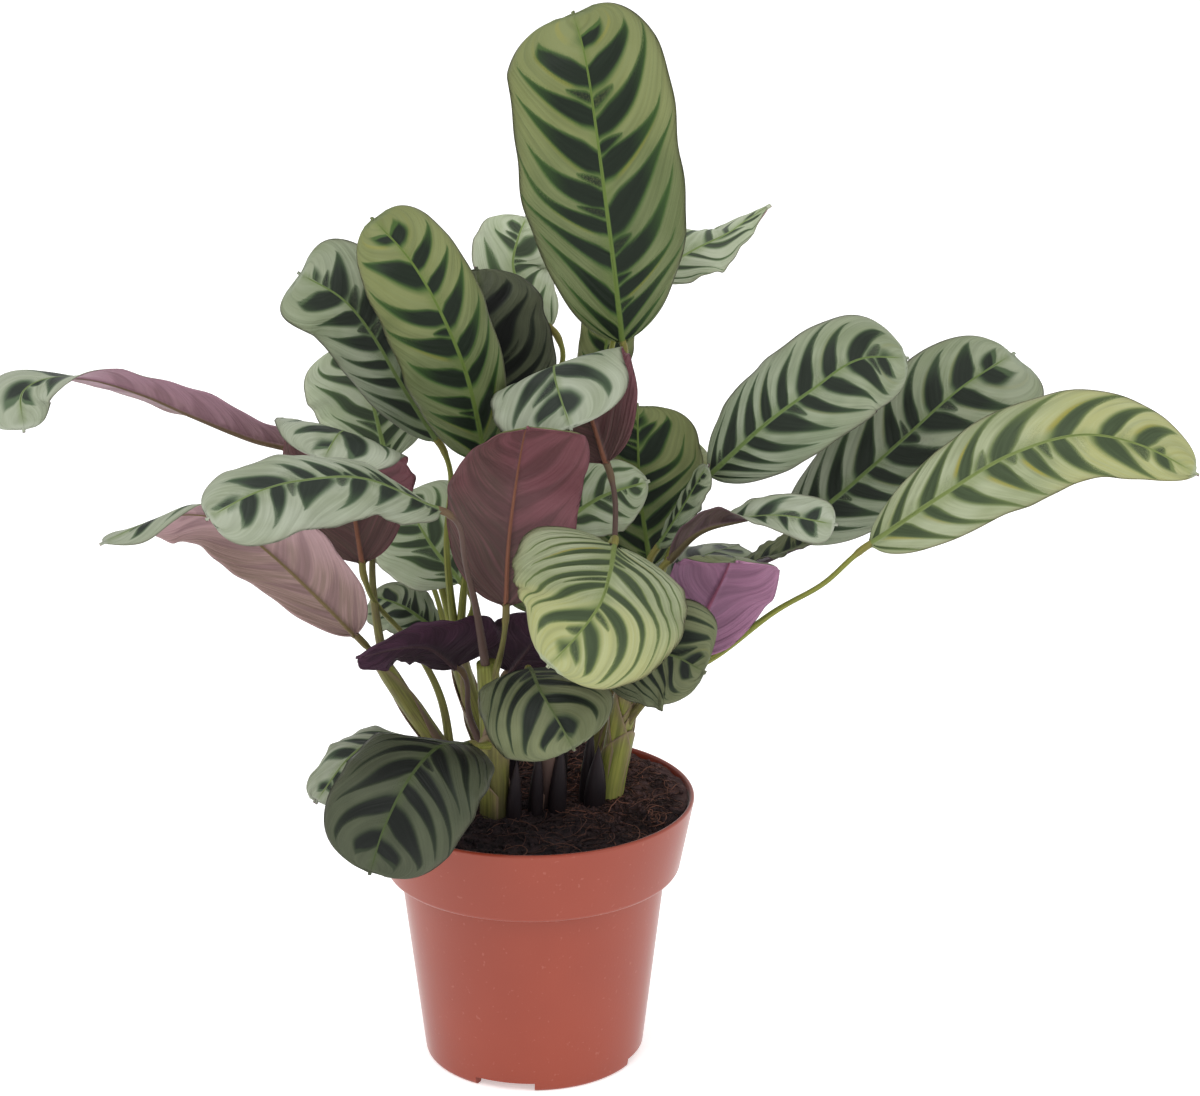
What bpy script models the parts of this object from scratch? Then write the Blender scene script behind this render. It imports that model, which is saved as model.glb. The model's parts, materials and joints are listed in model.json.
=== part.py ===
"""A potted ctenanthe: a prayer plant in a twelve-centimetre nursery pot.

Places and sizes are in millimetres and are scaled to metres as the meshes are made.
The origin is on the pot's axis where it stands, +Z is up and -Y is the plant's front.
"""
import math
from collections import namedtuple

import bpy
from mathutils import Matrix, Vector

MM = 0.001

# Pot: turned shell with a banded rim, a raised gutter under its floor and four notched feet
POT_HEIGHT = 102.0
LIP_RADIUS = 60.0
BAND_FOOT_RADIUS = 54.8
BAND_FOOT_Z = 75.0
BODY_TOP_RADIUS = 49.4
BODY_TOP_Z = 73.0
BODY_FOOT_RADIUS = 41.2
FOOT_RADIUS = 40.0
WALL = 1.3
CENTRE_DISC_RADIUS = 14.0
DISC_TOP_Z = 1.6
GUTTER_Z = 4.0
POT_SIDES = 36
NOTCH_ANGLE = math.radians(32.0)
NOTCH_HEIGHT = 3.4
NOTCH_COUNT = 4
NOTCH_STEPS = 6
NOTCH_REACH = 6.0
DRAIN_RADIUS = 3.2
DRAIN_RING_RADIUS = 26.0
DRAIN_COUNT = 8
DRAIN_SIDES = 10
CUT_PAST = 2.0

# Soil: fills the pot to just under its lip, with a plain hole for each stem
SOIL_EDGE_Z = 98.2
SOIL_RISE = 1.4
SOIL_HUMP = 0.7
SOIL_RINGS = 5
SOIL_SHOULDER = 1.5
SOIL_CLEARANCE = 0.5
GAP = 0.3
HOLE_CLEARANCE = 0.4
HOLE_DEPTH = 24.0
HOLE_SIDES = 12

# Leaves and stems
BLADE_THICKNESS = 0.7
BLADE_ROWS = (0.0, 0.05, 0.14, 0.28, 0.43, 0.58, 0.73, 0.86, 0.95, 1.0)
BLADE_HALF_COLUMNS = (0.33, 0.7, 1.0)
BLADE_BASE_HALF_WIDTH = 1.4
BLADE_TIP_HALF_WIDTH = 0.5
RIPPLE_TURN = 19.0
RIPPLE_SHIFT = 2.2
STEM_SIDES = 8
TUBE_SIDES = 6
TUBE_RING_GAP = 22.0
PETIOLE_RADIUS = 1.35
PETIOLE_FOOT_RADIUS = 2.0
PULVINUS_RADIUS = 1.75
PULVINUS_LENGTH = 9.0
PETIOLE_ROOT = 0.12
BLADE_SEAT = 0.45
STEM_FOOT_DEPTH = 22.0

Leaf = namedtuple("Leaf", "shoot start via midrib faces width halves fold dome ripple widest blunt "
                          "lobe crest")
Shoot = namedtuple("Shoot", "stem radii spears")


def leaf(shoot, midrib, faces, width, start=0.8, via=(), halves=(1, 1), fold=(0, 0),
         dome=(20, 20), ripple=1.2, widest=(0.56, 0.56), blunt=(4.0, 4.0), lobe=(0, 0),
         crest=(0, 0)):
    """One leaf's form. Its petiole leaves the shoot's stem at start, a share of the stem's
    length, and passes the via points. The midrib runs from base to tip, and faces says which
    way the upper side looks at even steps along it. Fold is the bend at the midrib and dome the
    further bend out to the margin, in degrees from base to tip, above zero where the sides go
    down. Ripple is the height of the margin's waves. The other pairs are for the half left and
    the half right of the midrib: halves scales the widths, widest is the share of the length
    where the half is widest, a higher blunt fills the tip out, lobe draws the base corner back
    and crest draws the tip corner on."""
    return Leaf(shoot, start, via, midrib, faces, width, halves, fold, dome, ripple, widest,
                blunt, lobe, crest)


SHOOTS = {
    "shoot_left": Shoot(
        stem=[(-23, 1, 100), (-34, -3, 121), (-47, -9, 144), (-56, -15, 162)],
        radii=(5.0, 3.0), spears=[]),
    "shoot_front": Shoot(
        stem=[(-14, -14, 100), (-14, -15, 120), (-15, -17, 142), (-16, -19, 160)],
        radii=(6.0, 4.0), spears=[(-7, -17, 122, 3.0)]),
    "shoot_middle": Shoot(
        stem=[(4, -6, 100), (5, -8, 114), (5, -9, 130), (6, -10, 146)],
        radii=(4.8, 3.0), spears=[(9, -10, 127, 3.6), (1, -12, 126, 2.9)]),
    "shoot_right": Shoot(
        stem=[(28, 2, 100), (31, 2, 117), (34, 1, 135), (37, -1, 150)],
        radii=(5.8, 4.0), spears=[(23, -5, 123, 4.2), (20, -1, 132, 3.0)]),
    "shoot_back_left": Shoot(
        stem=[(-14, 16, 100), (-19, 17, 119), (-25, 17, 140), (-30, 16, 160)],
        radii=(4.8, 3.0), spears=[(-8, 13, 124, 3.0)]),
    "shoot_back": Shoot(
        stem=[(5, 21, 100), (6, 23, 120), (7, 24, 145), (8, 25, 170)],
        radii=(4.8, 3.0), spears=[(10, 17, 124, 3.2)]),
    "shoot_back_right": Shoot(
        stem=[(22, 22, 100), (27, 23, 119), (33, 22, 140), (40, 20, 158)],
        radii=(4.4, 2.8), spears=[]),
}

LEAVES = {
    "leaf_crown": leaf(
        "shoot_back", [(33, 4, 273), (29, -6, 308), (24, -10, 347), (20, -4, 374), (16, 10, 388)],
        [(0, -1, 0.1), (0, -1, 0.1), (-0.1, -0.8, 0.6)], 62, via=[(7, 24, 205), (12, 19, 236)],
        halves=(0.94, 0.94), dome=(20, 22), widest=(0.56, 0.5), blunt=(6.0, 4.0), crest=(3, 13)),
    "leaf_crown_right": leaf(
        "shoot_back", [(44, 32, 290), (60, 39, 298), (73, 45, 303), (79, 50, 306), (88, 54, 311)],
        [(-0.5, -0.5, 0.7), (-0.5, -0.4, 0.75)], 38, via=[(14, 30, 215), (30, 32, 262)],
        widest=(0.4, 0.4), blunt=(1.1, 1.1), halves=(1.15, 0.8)),
    "leaf_crown_left": leaf(
        "shoot_back", [(7, 38, 270), (-2, 42, 281), (-6, 46, 291), (-4, 52, 300), (-1, 60, 306)],
        [(0.3, -0.8, 0.2), (0.2, -0.5, 0.8)], 30, via=[(6, 38, 205), (3, 40, 238)],
        halves=(1, 1.1)),
    "leaf_pair_right": leaf(
        "shoot_back_left", [(-16, 0, 230), (-22, -9, 263), (-31, -17, 289), (-41, -17, 307),
                            (-54, -5, 319)],
        [(0.2, -0.95, 0.1), (0.1, -0.9, 0.3), (0, -0.7, 0.6)], 38, via=[(-22, 6, 198)],
        halves=(1.14, 0.94), dome=(26, 30), widest=(0.4, 0.72), blunt=(3.4, 6.0), crest=(0, 5)),
    "leaf_pair_left": leaf(
        "shoot_back_left", [(-34, 8, 236), (-46, 6, 257), (-56, 4, 276), (-66, 3, 289),
                            (-81, 8, 297)],
        [(-0.1, -0.95, 0.2), (-0.1, -0.9, 0.35)], 35, via=[(-31, 8, 200)], dome=(24, 18),
        halves=(1.0, 1.12), widest=(0.75, 0.6), blunt=(9.0, 6.0), crest=(4, 4)),
    "leaf_shaded": leaf(
        "shoot_back", [(-7, 22, 232), (-12, 25, 256), (-17, 27, 279), (-19, 35, 292)],
        [(0.1, -1, 0.1), (0, -0.9, 0.4)], 47, via=[(0, 24, 205)]),
    "leaf_behind_pair": leaf(
        "shoot_back_left", [(-53, 32, 222), (-58, 36, 242), (-66, 44, 263)],
        [(-0.1, -1, 0.2), (0, -0.9, 0.4)], 46, via=[(-35, 32, 178), (-48, 36, 202)]),
    "leaf_reaching_left": leaf(
        "shoot_left", [(-68, 20, 220), (-83, 16, 229), (-100, 9, 236), (-119, 0, 247),
                       (-139, -6, 258), (-159, -16, 266), (-175, -26, 264), (-175, -33, 252)],
        [(0.1, 0.75, 0.65), (0.1, 0.75, 0.65), (0, 0.6, 0.8), (-0.1, -0.75, 0.6)], 31,
        via=[(-58, 4, 185)], start=0.9, halves=(0.7, 1), fold=(-60, 10), dome=(-10, 10),
        widest=(0.84, 0.84), blunt=(4.0, 4.0)),
    "leaf_folded_left": leaf(
        "shoot_left", [(-61, -2, 193), (-64, 1, 216), (-65, -6, 240), (-67, -20, 246),
                       (-72, -32, 240)],
        [(0.1, 1, 0.1), (0.2, 0.9, 0.4), (0.27, 0.2, 0.93), (0.15, -0.5, 0.85)], 50,
        via=[(-33, 4, 138), (-45, 7, 160)], start=0.2, dome=(12, 12)),
    "leaf_left_underside": leaf(
        "shoot_left", [(-63, -24, 173), (-77, -30, 191), (-92, -37, 209), (-105, -47, 223),
                       (-122, -57, 228), (-145, -66, 221)],
        [(0, 0.95, 0.3), (-0.1, 0.85, 0.5), (-0.1, 0.8, 0.6), (-0.1, 0.7, 0.7),
         (-0.2, -0.5, 0.85)], 50, start=0.95, halves=(1.05, 0.6), dome=(15, 50),
        blunt=(1.2, 2.2)),
    "leaf_left_front": leaf(
        "shoot_front", [(-32, -50, 227), (-56, -70, 244), (-77, -86, 248), (-91, -97, 247),
                        (-105, -104, 241)],
        [(-0.1, -0.4, 0.9), (-0.2, -0.6, 0.8), (-0.3, -0.8, 0.5)], 38,
        via=[(-20, -27, 186), (-24, -38, 208)], halves=(1, 0.85), dome=(20, 30),
        blunt=(5.0, 5.0)),
    "leaf_centre_underside": leaf(
        "shoot_front", [(-9, -25, 184), (-8, -21, 205), (-5, -25, 230), (-2, -38, 251),
                        (-1, -46, 255)],
        [(0, 1, 0.1), (0, 1, 0.1), (0, 0.2, 1)], 48, dome=(10, 14), widest=(0.56, 0.5),
        blunt=(5.0, 1.5)),
    "leaf_centre_folded": leaf(
        "shoot_right", [(27, -2, 230), (20, 1, 250), (10, -9, 267), (9, -24, 266),
                        (14, -36, 252)],
        [(0.2, 1, 0.2), (0, 1, 0.3), (-0.4, 0, 0.9), (-0.2, -0.9, 0.4)], 51,
        via=[(31, -4, 170), (30, -6, 204)], dome=(10, 12), widest=(0.7, 0.7)),
    "leaf_front_dome": leaf(
        "shoot_middle", [(29, -36, 209), (27, -58, 206), (23, -77, 201), (15, -89, 194),
                         (6, -92, 185)],
        [(0.3, -0.5, 0.8), (0.1, -0.65, 0.75), (-0.1, -0.9, 0.35)], 66, via=[(18, -14, 180)],
        dome=(8, 30), widest=(0.38, 0.26), blunt=(2.7, 2.4), lobe=(12, 15), halves=(0.9, 1.0)),
    "leaf_centre_right": leaf(
        "shoot_back_right", [(44, 20, 184), (40, 17, 213), (39, 22, 244)],
        [(0, -1, 0.1), (0, -0.9, 0.3)], 48, start=0.9),
    "leaf_small_centre": leaf(
        "shoot_back_right", [(12, 7, 205), (26, 5, 215), (42, 6, 220)],
        [(-0.1, -0.9, 0.4), (0.1, -0.9, 0.4)], 31, via=[(20, 12, 178)], start=0.5,
        widest=(0.5, 0.5), blunt=(1.8, 1.8), fold=(14, 14)),
    "leaf_right_inner": leaf(
        "shoot_right", [(65, 2, 224), (83, -9, 245), (99, -14, 259), (115, -14, 270),
                        (133, -7, 269)],
        [(0.1, -0.85, 0.5), (0.1, -0.8, 0.6)], 41, via=[(46, 10, 178), (54, 9, 202)],
        dome=(24, 28)),
    "leaf_right_middle": leaf(
        "shoot_back_right", [(94, 14, 197), (111, 13, 211), (134, 11, 233), (155, 13, 252),
                             (175, 21, 263)],
        [(0.1, -0.85, 0.5), (0.2, -0.8, 0.6)], 45, via=[(64, 18, 174)], halves=(0.94, 1.05),
        dome=(24, 24), blunt=(4.0, 8.0), widest=(0.5, 0.62), crest=(-2, 10)),
    "leaf_right_outer": leaf(
        "shoot_right", [(121, -22, 205), (145, -32, 226), (167, -38, 242), (190, -42, 250),
                        (210, -44, 247), (231, -42, 236)],
        [(-0.1, -0.75, 0.65), (0, -0.75, 0.65), (0.3, -0.85, 0.4)], 37,
        via=[(64, -8, 156), (89, -13, 178), (107, -17, 189)], dome=(18, 24),
        blunt=(2.8, 1.7), widest=(0.5, 0.46)),
    "leaf_rolled_right": leaf(
        "shoot_right", [(50, -9, 195), (60, -14, 207), (74, -19, 213), (88, -24, 216),
                        (107, -28, 214)],
        [(-0.2, 0.8, 0.6), (-0.2, 0.7, 0.7), (-0.1, -0.5, 0.8), (0, -0.95, 0.3)], 17,
        via=[(42, -5, 175)], fold=(-64, 4), dome=(-10, 10), ripple=0.6, widest=(0.82, 0.82)),
    "leaf_edge_on_right": leaf(
        "shoot_right", [(46, -2, 198), (54, -4, 212), (63, -6, 229)],
        [(-0.8, -0.4, 0.5), (-0.8, -0.4, 0.5)], 16, via=[(41, 0, 176)], ripple=0.6),
    "leaf_pink_right": leaf(
        "shoot_right", [(55, -22, 164), (63, -17, 179), (69, -19, 193), (71, -28, 202),
                        (72, -38, 204)],
        [(0.2, 1, 0.1), (0.1, 0.9, 0.4), (0.1, 0, 1)], 38, start=0.5, via=[(46, -12, 148)],
        dome=(8, 14), blunt=(2.6, 3.4)),
    "leaf_narrow_right": leaf(
        "shoot_right", [(74, -2, 188), (88, 0, 193), (103, 2, 199)],
        [(0, 0.2, 1), (-0.2, -0.2, 1)], 18, via=[(54, 0, 168)], fold=(-30, -30), ripple=0.6),
    "leaf_low_right": leaf(
        "shoot_middle", [(26, -28, 161), (37, -38, 170), (49, -46, 172), (60, -49, 167)],
        [(-0.3, -0.6, 0.75), (-0.4, -0.85, 0.3), (0.1, -1, 0.1)], 42, via=[(17, -15, 150)],
        dome=(20, 30)),
    "leaf_low_centre": leaf(
        "shoot_middle", [(-1, -24, 159), (0, -42, 165), (3, -60, 164), (9, -71, 157),
                         (14, -76, 149)],
        [(0, -0.2, 1), (-0.1, -0.6, 0.8), (-0.1, -0.9, 0.3)], 50, start=0.5,
        via=[(3, -14, 140)], dome=(26, 30), halves=(0.92, 0.96), widest=(0.54, 0.66),
        blunt=(4.0, 3.0)),
    "leaf_low_front_left": leaf(
        "shoot_front", [(-23, -38, 136), (-33, -62, 144), (-43, -78, 138), (-51, -86, 124),
                        (-56, -86, 108)],
        [(0, -0.3, 1), (-0.1, -0.7, 0.7), (-0.1, -1, 0.1)], 49, start=0.5, via=[(-18, -26, 128)],
        dome=(24, 26), crest=(4, 0), halves=(1.04, 1)),
    "leaf_low_left_behind": leaf(
        "shoot_left", [(-40, -20, 130), (-51, -31, 137), (-64, -43, 134), (-76, -53, 121)],
        [(-0.2, -0.3, 0.9), (-0.4, -0.6, 0.7)], 25, start=0.3, via=[(-34, -12, 124)]),
    "leaf_dark_left": leaf(
        "shoot_front", [(-28, -6, 154), (-37, -16, 165), (-47, -27, 169), (-61, -37, 169)],
        [(-0.2, 0.85, 0.5), (-0.2, 0.8, 0.5)], 33, start=0.3, via=[(-25, -6, 138)],
        dome=(10, 10), halves=(1.52, 0.6), widest=(0.3, 0.5), blunt=(1.2, 5.0), lobe=(7, 0)),
    "leaf_dark_centre": leaf(
        "shoot_middle", [(-8, 6, 148), (-1, -1, 160), (6, -8, 174)],
        [(0, 0.8, 0.5), (0, 0.7, 0.6)], 36, start=0.3, via=[(-3, 4, 132)], dome=(10, 10)),
    "leaf_inner_left": leaf(
        "shoot_back_left", [(-26, 20, 178), (-36, 21, 191), (-43, 24, 202), (-48, 28, 208)],
        [(-0.2, -0.9, 0.3), (-0.2, -0.8, 0.5)], 42, start=0.95),
    "leaf_small_left": leaf(
        "shoot_back_left", [(-36, 34, 154), (-48, 38, 162), (-60, 46, 164)],
        [(-0.2, -0.5, 0.85), (-0.2, -0.5, 0.85)], 24, start=0.5, via=[(-26, 26, 142)]),
    "leaf_behind_crown": leaf(
        "shoot_back", [(26, 42, 234), (27, 45, 250), (29, 49, 266), (31, 54, 280)],
        [(0, -1, 0.2), (0, -0.9, 0.4)], 21, via=[(14, 42, 205)]),
    "leaf_back_right": leaf(
        "shoot_back_right", [(36, 48, 188), (46, 72, 208), (54, 98, 214)],
        [(0.1, 0.1, 1), (0.2, 0.3, 0.9)], 42, via=[(38, 34, 174)]),
    "leaf_back_left": leaf(
        "shoot_back_left", [(-40, 50, 172), (-52, 74, 186), (-60, 98, 188)],
        [(-0.1, 0.1, 1), (-0.2, 0.3, 0.9)], 42, via=[(-34, 34, 160)]),
    "leaf_back_low": leaf(
        "shoot_back", [(4, 48, 156), (6, 74, 170), (8, 102, 168)],
        [(0, 0, 1), (0, 0.4, 0.9)], 44, start=0.5, via=[(6, 34, 142)]),
    "leaf_back_low_right": leaf(
        "shoot_back_right", [(48, 44, 158), (64, 62, 172), (80, 80, 172)],
        [(0, 0, 1), (0.3, 0.3, 0.9)], 38, start=0.5, via=[(38, 32, 144)]),
}


def clear_scene():
    for old in list(bpy.data.objects):
        bpy.data.objects.remove(old)


def make_material(name, colour, roughness):
    material = bpy.data.materials.new(name)
    material.use_nodes = True
    shader = material.node_tree.nodes["Principled BSDF"]
    shader.inputs["Base Color"].default_value = (*colour, 1.0)
    shader.inputs["Roughness"].default_value = roughness
    shader.inputs["Metallic"].default_value = 0.0
    return material


def add_object(name, points, faces, material):
    """A smooth-shaded object from points in millimetres."""
    mesh = bpy.data.meshes.new(name)
    mesh.from_pydata([Vector(p) * MM for p in points], [], faces)
    mesh.materials.append(material)
    mesh.shade_smooth()
    mesh.set_sharp_from_angle(angle=math.radians(40))
    thing = bpy.data.objects.new(name, mesh)
    bpy.context.scene.collection.objects.link(thing)
    return thing


def apply_modifiers(thing):
    depsgraph = bpy.context.evaluated_depsgraph_get()
    mesh = bpy.data.meshes.new_from_object(thing.evaluated_get(depsgraph))
    thing.modifiers.clear()
    thing.data = mesh


def combine(thing, others, operation):
    """One Boolean of a collection of helpers on a thing, applied."""
    helpers = bpy.data.collections.new(thing.name + "_helpers")
    bpy.context.scene.collection.children.link(helpers)
    for other in others:
        bpy.context.scene.collection.objects.unlink(other)
        helpers.objects.link(other)
    boolean = thing.modifiers.new(operation.lower(), "BOOLEAN")
    boolean.operation = operation
    boolean.operand_type = "COLLECTION"
    boolean.collection = helpers
    boolean.solver = "MANIFOLD"  # EXACT leaves the pot's notches open
    apply_modifiers(thing)
    for other in others:
        bpy.data.objects.remove(other)
    bpy.data.collections.remove(helpers)


def turned(name, profile, sides, material, height_at=None):
    """A solid turned round Z from (radius, z) points that start and end on the axis."""
    points = [(0, 0, profile[0][1])]
    for radius, z in profile[1:-1]:
        for k in range(sides):
            angle = 2 * math.pi * k / sides
            x = radius * math.sin(angle)
            y = -radius * math.cos(angle)
            points.append((x, y, height_at(x, y, z) if height_at else z))
    points.append((0, 0, profile[-1][1]))
    last = len(points) - 1
    rings = len(profile) - 2
    faces = []
    for k in range(sides):
        after = (k + 1) % sides
        faces.append((0, 1 + after, 1 + k))
        for ring in range(rings - 1):
            low = 1 + ring * sides
            high = low + sides
            faces.append((low + k, low + after, high + after, high + k))
        top = 1 + (rings - 1) * sides
        faces.append((top + k, top + after, last))
    return add_object(name, points, faces, material)


def inner_radius(z):
    """The pot's inner radius at a height on the body or on the rim band."""
    if z < BODY_TOP_Z:
        share = z / BODY_TOP_Z
        return BODY_FOOT_RADIUS - WALL + share * (BODY_TOP_RADIUS - BODY_FOOT_RADIUS)
    share = (z - BAND_FOOT_Z) / (POT_HEIGHT - BAND_FOOT_Z)
    return BAND_FOOT_RADIUS - WALL + share * (LIP_RADIUS - BAND_FOOT_RADIUS)


def pot_profile():
    """The pot's section: out under the foot, up the outside, over the lip and down inside."""
    floor_z = GUTTER_Z + WALL
    outside = [
        (0, 0), (CENTRE_DISC_RADIUS, 0), (CENTRE_DISC_RADIUS + 2, GUTTER_Z),
        (FOOT_RADIUS - 3.5, GUTTER_Z), (FOOT_RADIUS - 2.5, 0), (FOOT_RADIUS, 0),
        (FOOT_RADIUS + 0.9, 0.9), (BODY_FOOT_RADIUS, 2.8),
        (BODY_TOP_RADIUS, BODY_TOP_Z), (BODY_TOP_RADIUS + 0.8, BODY_TOP_Z + 0.5),
        (BAND_FOOT_RADIUS - 0.7, BAND_FOOT_Z - 1.0), (BAND_FOOT_RADIUS, BAND_FOOT_Z),
        (LIP_RADIUS, POT_HEIGHT - 0.8), (LIP_RADIUS - 0.4, POT_HEIGHT - 0.1)]
    inside = [
        (LIP_RADIUS - 1.1, POT_HEIGHT), (LIP_RADIUS - 1.6, POT_HEIGHT - 0.6),
        (inner_radius(BAND_FOOT_Z + 1.4), BAND_FOOT_Z + 1.4),
        (BODY_TOP_RADIUS - 0.2, BODY_TOP_Z + 1.7), (BODY_TOP_RADIUS - WALL, BODY_TOP_Z + 0.6),
        (inner_radius(floor_z + 1), floor_z + 1), (inner_radius(floor_z) - 1, floor_z),
        (CENTRE_DISC_RADIUS + 2.6, floor_z), (CENTRE_DISC_RADIUS + 0.6, DISC_TOP_Z),
        (0, DISC_TOP_Z)]
    return outside + inside


def add_notch_cutter(material, centre_angle):
    """A curved block that cuts one notch out of the pot's foot."""
    points = []
    for k in range(NOTCH_STEPS + 1):
        angle = centre_angle + NOTCH_ANGLE * (k / NOTCH_STEPS - 0.5)
        for radius in (FOOT_RADIUS - NOTCH_REACH, FOOT_RADIUS + NOTCH_REACH):
            for z in (-CUT_PAST, NOTCH_HEIGHT):
                points.append((radius * math.sin(angle), -radius * math.cos(angle), z))
    faces = [(0, 2, 3, 1)]
    for k in range(NOTCH_STEPS):
        a = 4 * k
        b = a + 4
        faces += [(a, a + 1, b + 1, b), (a + 1, a + 3, b + 3, b + 1),
                  (a + 3, a + 2, b + 2, b + 3), (a + 2, a, b, b + 2)]
    end = 4 * NOTCH_STEPS
    faces.append((end, end + 1, end + 3, end + 2))
    return helper(add_object("notch_cutter", points, faces, material))


def helper(thing):
    thing.hide_render = True
    thing.display_type = "WIRE"
    return thing


def upright_cutter(name, centre, radius, low, high, sides, material):
    """An upright cylinder, used as a cutter."""
    profile = [(0, low), (radius, low), (radius, high), (0, high)]
    thing = turned(name, profile, sides, material)
    thing.data.transform(Matrix.Translation(Vector((centre[0], centre[1], 0)) * MM))
    return helper(thing)


def add_pot(material):
    pot = turned("pot", pot_profile(), POT_SIDES, material)
    cutters = []
    for k in range(NOTCH_COUNT):
        turn = 2 * math.pi * k / NOTCH_COUNT - NOTCH_ANGLE / 2
        cutters.append(add_notch_cutter(material, turn))
    for k in range(DRAIN_COUNT):
        turn = 2 * math.pi * (k + 0.5) / DRAIN_COUNT
        centre = (DRAIN_RING_RADIUS * math.sin(turn), -DRAIN_RING_RADIUS * math.cos(turn))
        cutters.append(upright_cutter("drain_cutter", centre, DRAIN_RADIUS, GUTTER_Z - CUT_PAST,
                                        GUTTER_Z + WALL + CUT_PAST, DRAIN_SIDES, material))
    combine(pot, cutters, "DIFFERENCE")


def soil_height(x, y, z):
    """Adds low, uneven humps to the soil's top and leaves its sides alone."""
    if z < SOIL_EDGE_Z:
        return z
    humps = math.sin(x * 0.21 + 1.0) * math.cos(y * 0.17) + 0.6 * math.sin(x * 0.08 - y * 0.27)
    return z + SOIL_HUMP * humps


def add_soil(material):
    floor_z = GUTTER_Z + WALL + GAP
    disc_z = DISC_TOP_Z + GAP
    edge = inner_radius(SOIL_EDGE_Z) - SOIL_CLEARANCE
    profile = [
        (0, disc_z), (CENTRE_DISC_RADIUS + 0.3, disc_z), (CENTRE_DISC_RADIUS + 2.3, floor_z),
        (inner_radius(floor_z) - SOIL_SHOULDER, floor_z),
        (inner_radius(floor_z + 2) - SOIL_CLEARANCE, floor_z + 2),
        (BODY_TOP_RADIUS - WALL - SOIL_CLEARANCE, BODY_TOP_Z + 1.0),
        (BODY_TOP_RADIUS - SOIL_CLEARANCE, BODY_TOP_Z + 2.3),
        (inner_radius(BAND_FOOT_Z + 2.2) - SOIL_CLEARANCE, BAND_FOOT_Z + 2.2),
        (edge, SOIL_EDGE_Z - SOIL_SHOULDER)]
    for ring in range(SOIL_RINGS):
        share = 1 - ring / SOIL_RINGS
        rise = SOIL_RISE * (1 - share * share)
        profile.append(((edge - SOIL_SHOULDER) * share, SOIL_EDGE_Z + rise))
    profile.append((0, SOIL_EDGE_Z + SOIL_RISE))
    soil = turned("soil", profile, POT_SIDES, material, soil_height)
    cutters = []
    for shoot in SHOOTS.values():
        x, y, z = shoot.stem[0]
        rounds = [(x, y, shoot.radii[0])]
        rounds += [(x, y, radius) for x, y, _, radius in shoot.spears]
        for x, y, radius in rounds:
            wide = (radius + HOLE_CLEARANCE) / math.cos(math.pi / HOLE_SIDES)
            cutters.append(upright_cutter("hole_cutter", (x, y), wide, z - HOLE_DEPTH,
                                            z + CUT_PAST, HOLE_SIDES, material))
    combine(soil, cutters, "DIFFERENCE")


class Route:
    """A smooth curve through points, read by the share of its length."""

    steps = 16

    def __init__(self, points):
        points = [Vector(p) for p in points]
        spans = len(points) - 1
        slopes = []
        for k in range(len(points)):
            before = points[max(k - 1, 0)]
            after = points[min(k + 1, spans)]
            slopes.append((after - before).normalized())
        self.track = [points[0]]
        for k in range(spans):
            reach = (points[k + 1] - points[k]).length
            for step in range(1, self.steps + 1):
                self.track.append(hermite(points[k], slopes[k] * reach, points[k + 1],
                                          slopes[k + 1] * reach, step / self.steps))
        self.distances = [0.0]
        for a, b in zip(self.track, self.track[1:]):
            self.distances.append(self.distances[-1] + (b - a).length)
        self.length = self.distances[-1]

    def at(self, share):
        wanted = min(max(share, 0.0), 1.0) * self.length
        k = 1
        while k < len(self.distances) - 1 and self.distances[k] < wanted:
            k += 1
        start = self.distances[k - 1]
        part = (wanted - start) / max(self.distances[k] - start, 1e-9)
        return self.track[k - 1].lerp(self.track[k], part)

    def heading(self, share):
        step = 0.02
        return (self.at(share + step) - self.at(share - step)).normalized()


def hermite(a, slope_a, b, slope_b, t):
    square = t * t
    cube = square * t
    return (a * (2 * cube - 3 * square + 1) + slope_a * (cube - 2 * square + t)
            + b * (3 * square - 2 * cube) + slope_b * (cube - square))


def blend(values, share):
    """Reads a value or a vector from even steps along a leaf."""
    place = share * (len(values) - 1)
    k = min(int(place), len(values) - 2)
    part = place - k
    return values[k] * (1 - part) + values[k + 1] * part


def outline(leaf, share, half):
    """How wide a half of the blade is at a share of its length, from 0 to 1."""
    widest = leaf.widest[half]
    if share < widest:
        return math.sqrt(max(1 - (1 - share / widest) ** 2, 0))
    blunt = leaf.blunt[half]
    return max(1 - ((share - widest) / (1 - widest)) ** blunt, 0) ** max(0.4, 1.6 - 0.6 * blunt)


def blade_point(leaf, route, share, across):
    """A point on the blade's sheet. Across runs from -1 at the left margin to 1."""
    heading = route.heading(share)
    facing = blend([Vector(f).normalized() for f in leaf.faces], share)
    facing = (facing - heading * facing.dot(heading)).normalized()
    side = heading.cross(facing)
    half = 1 if across > 0 else 0
    fullness = outline(leaf, share, half)
    wide = leaf.width / 2 * fullness
    wide = max(wide, BLADE_BASE_HALF_WIDTH * (1 - share) + BLADE_TIP_HALF_WIDTH * share)
    wide *= leaf.halves[half]
    fold = math.radians(blend(leaf.fold, share))
    dome = math.radians(blend(leaf.dome, share))
    reach = abs(across)
    end = fold + dome * reach
    if abs(dome) > 1e-4:
        out = (math.sin(end) - math.sin(fold)) / dome
        drop = (math.cos(fold) - math.cos(end)) / dome
    else:
        out = math.cos(fold) * reach
        drop = math.sin(fold) * reach
    wave = math.sin(share * RIPPLE_TURN + leaf.width + (RIPPLE_SHIFT if across > 0 else 0))
    lift = leaf.ripple * wave * reach ** 3 * math.sin(math.pi * share)
    drawn = leaf.crest[half] * share ** 6 - leaf.lobe[half] * (1 - share) ** 4
    along = drawn * fullness * reach ** 2
    sign = 1 if across > 0 else -1
    return (route.at(share) + heading * along + side * sign * wide * out
            + facing * (lift - wide * drop))


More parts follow.
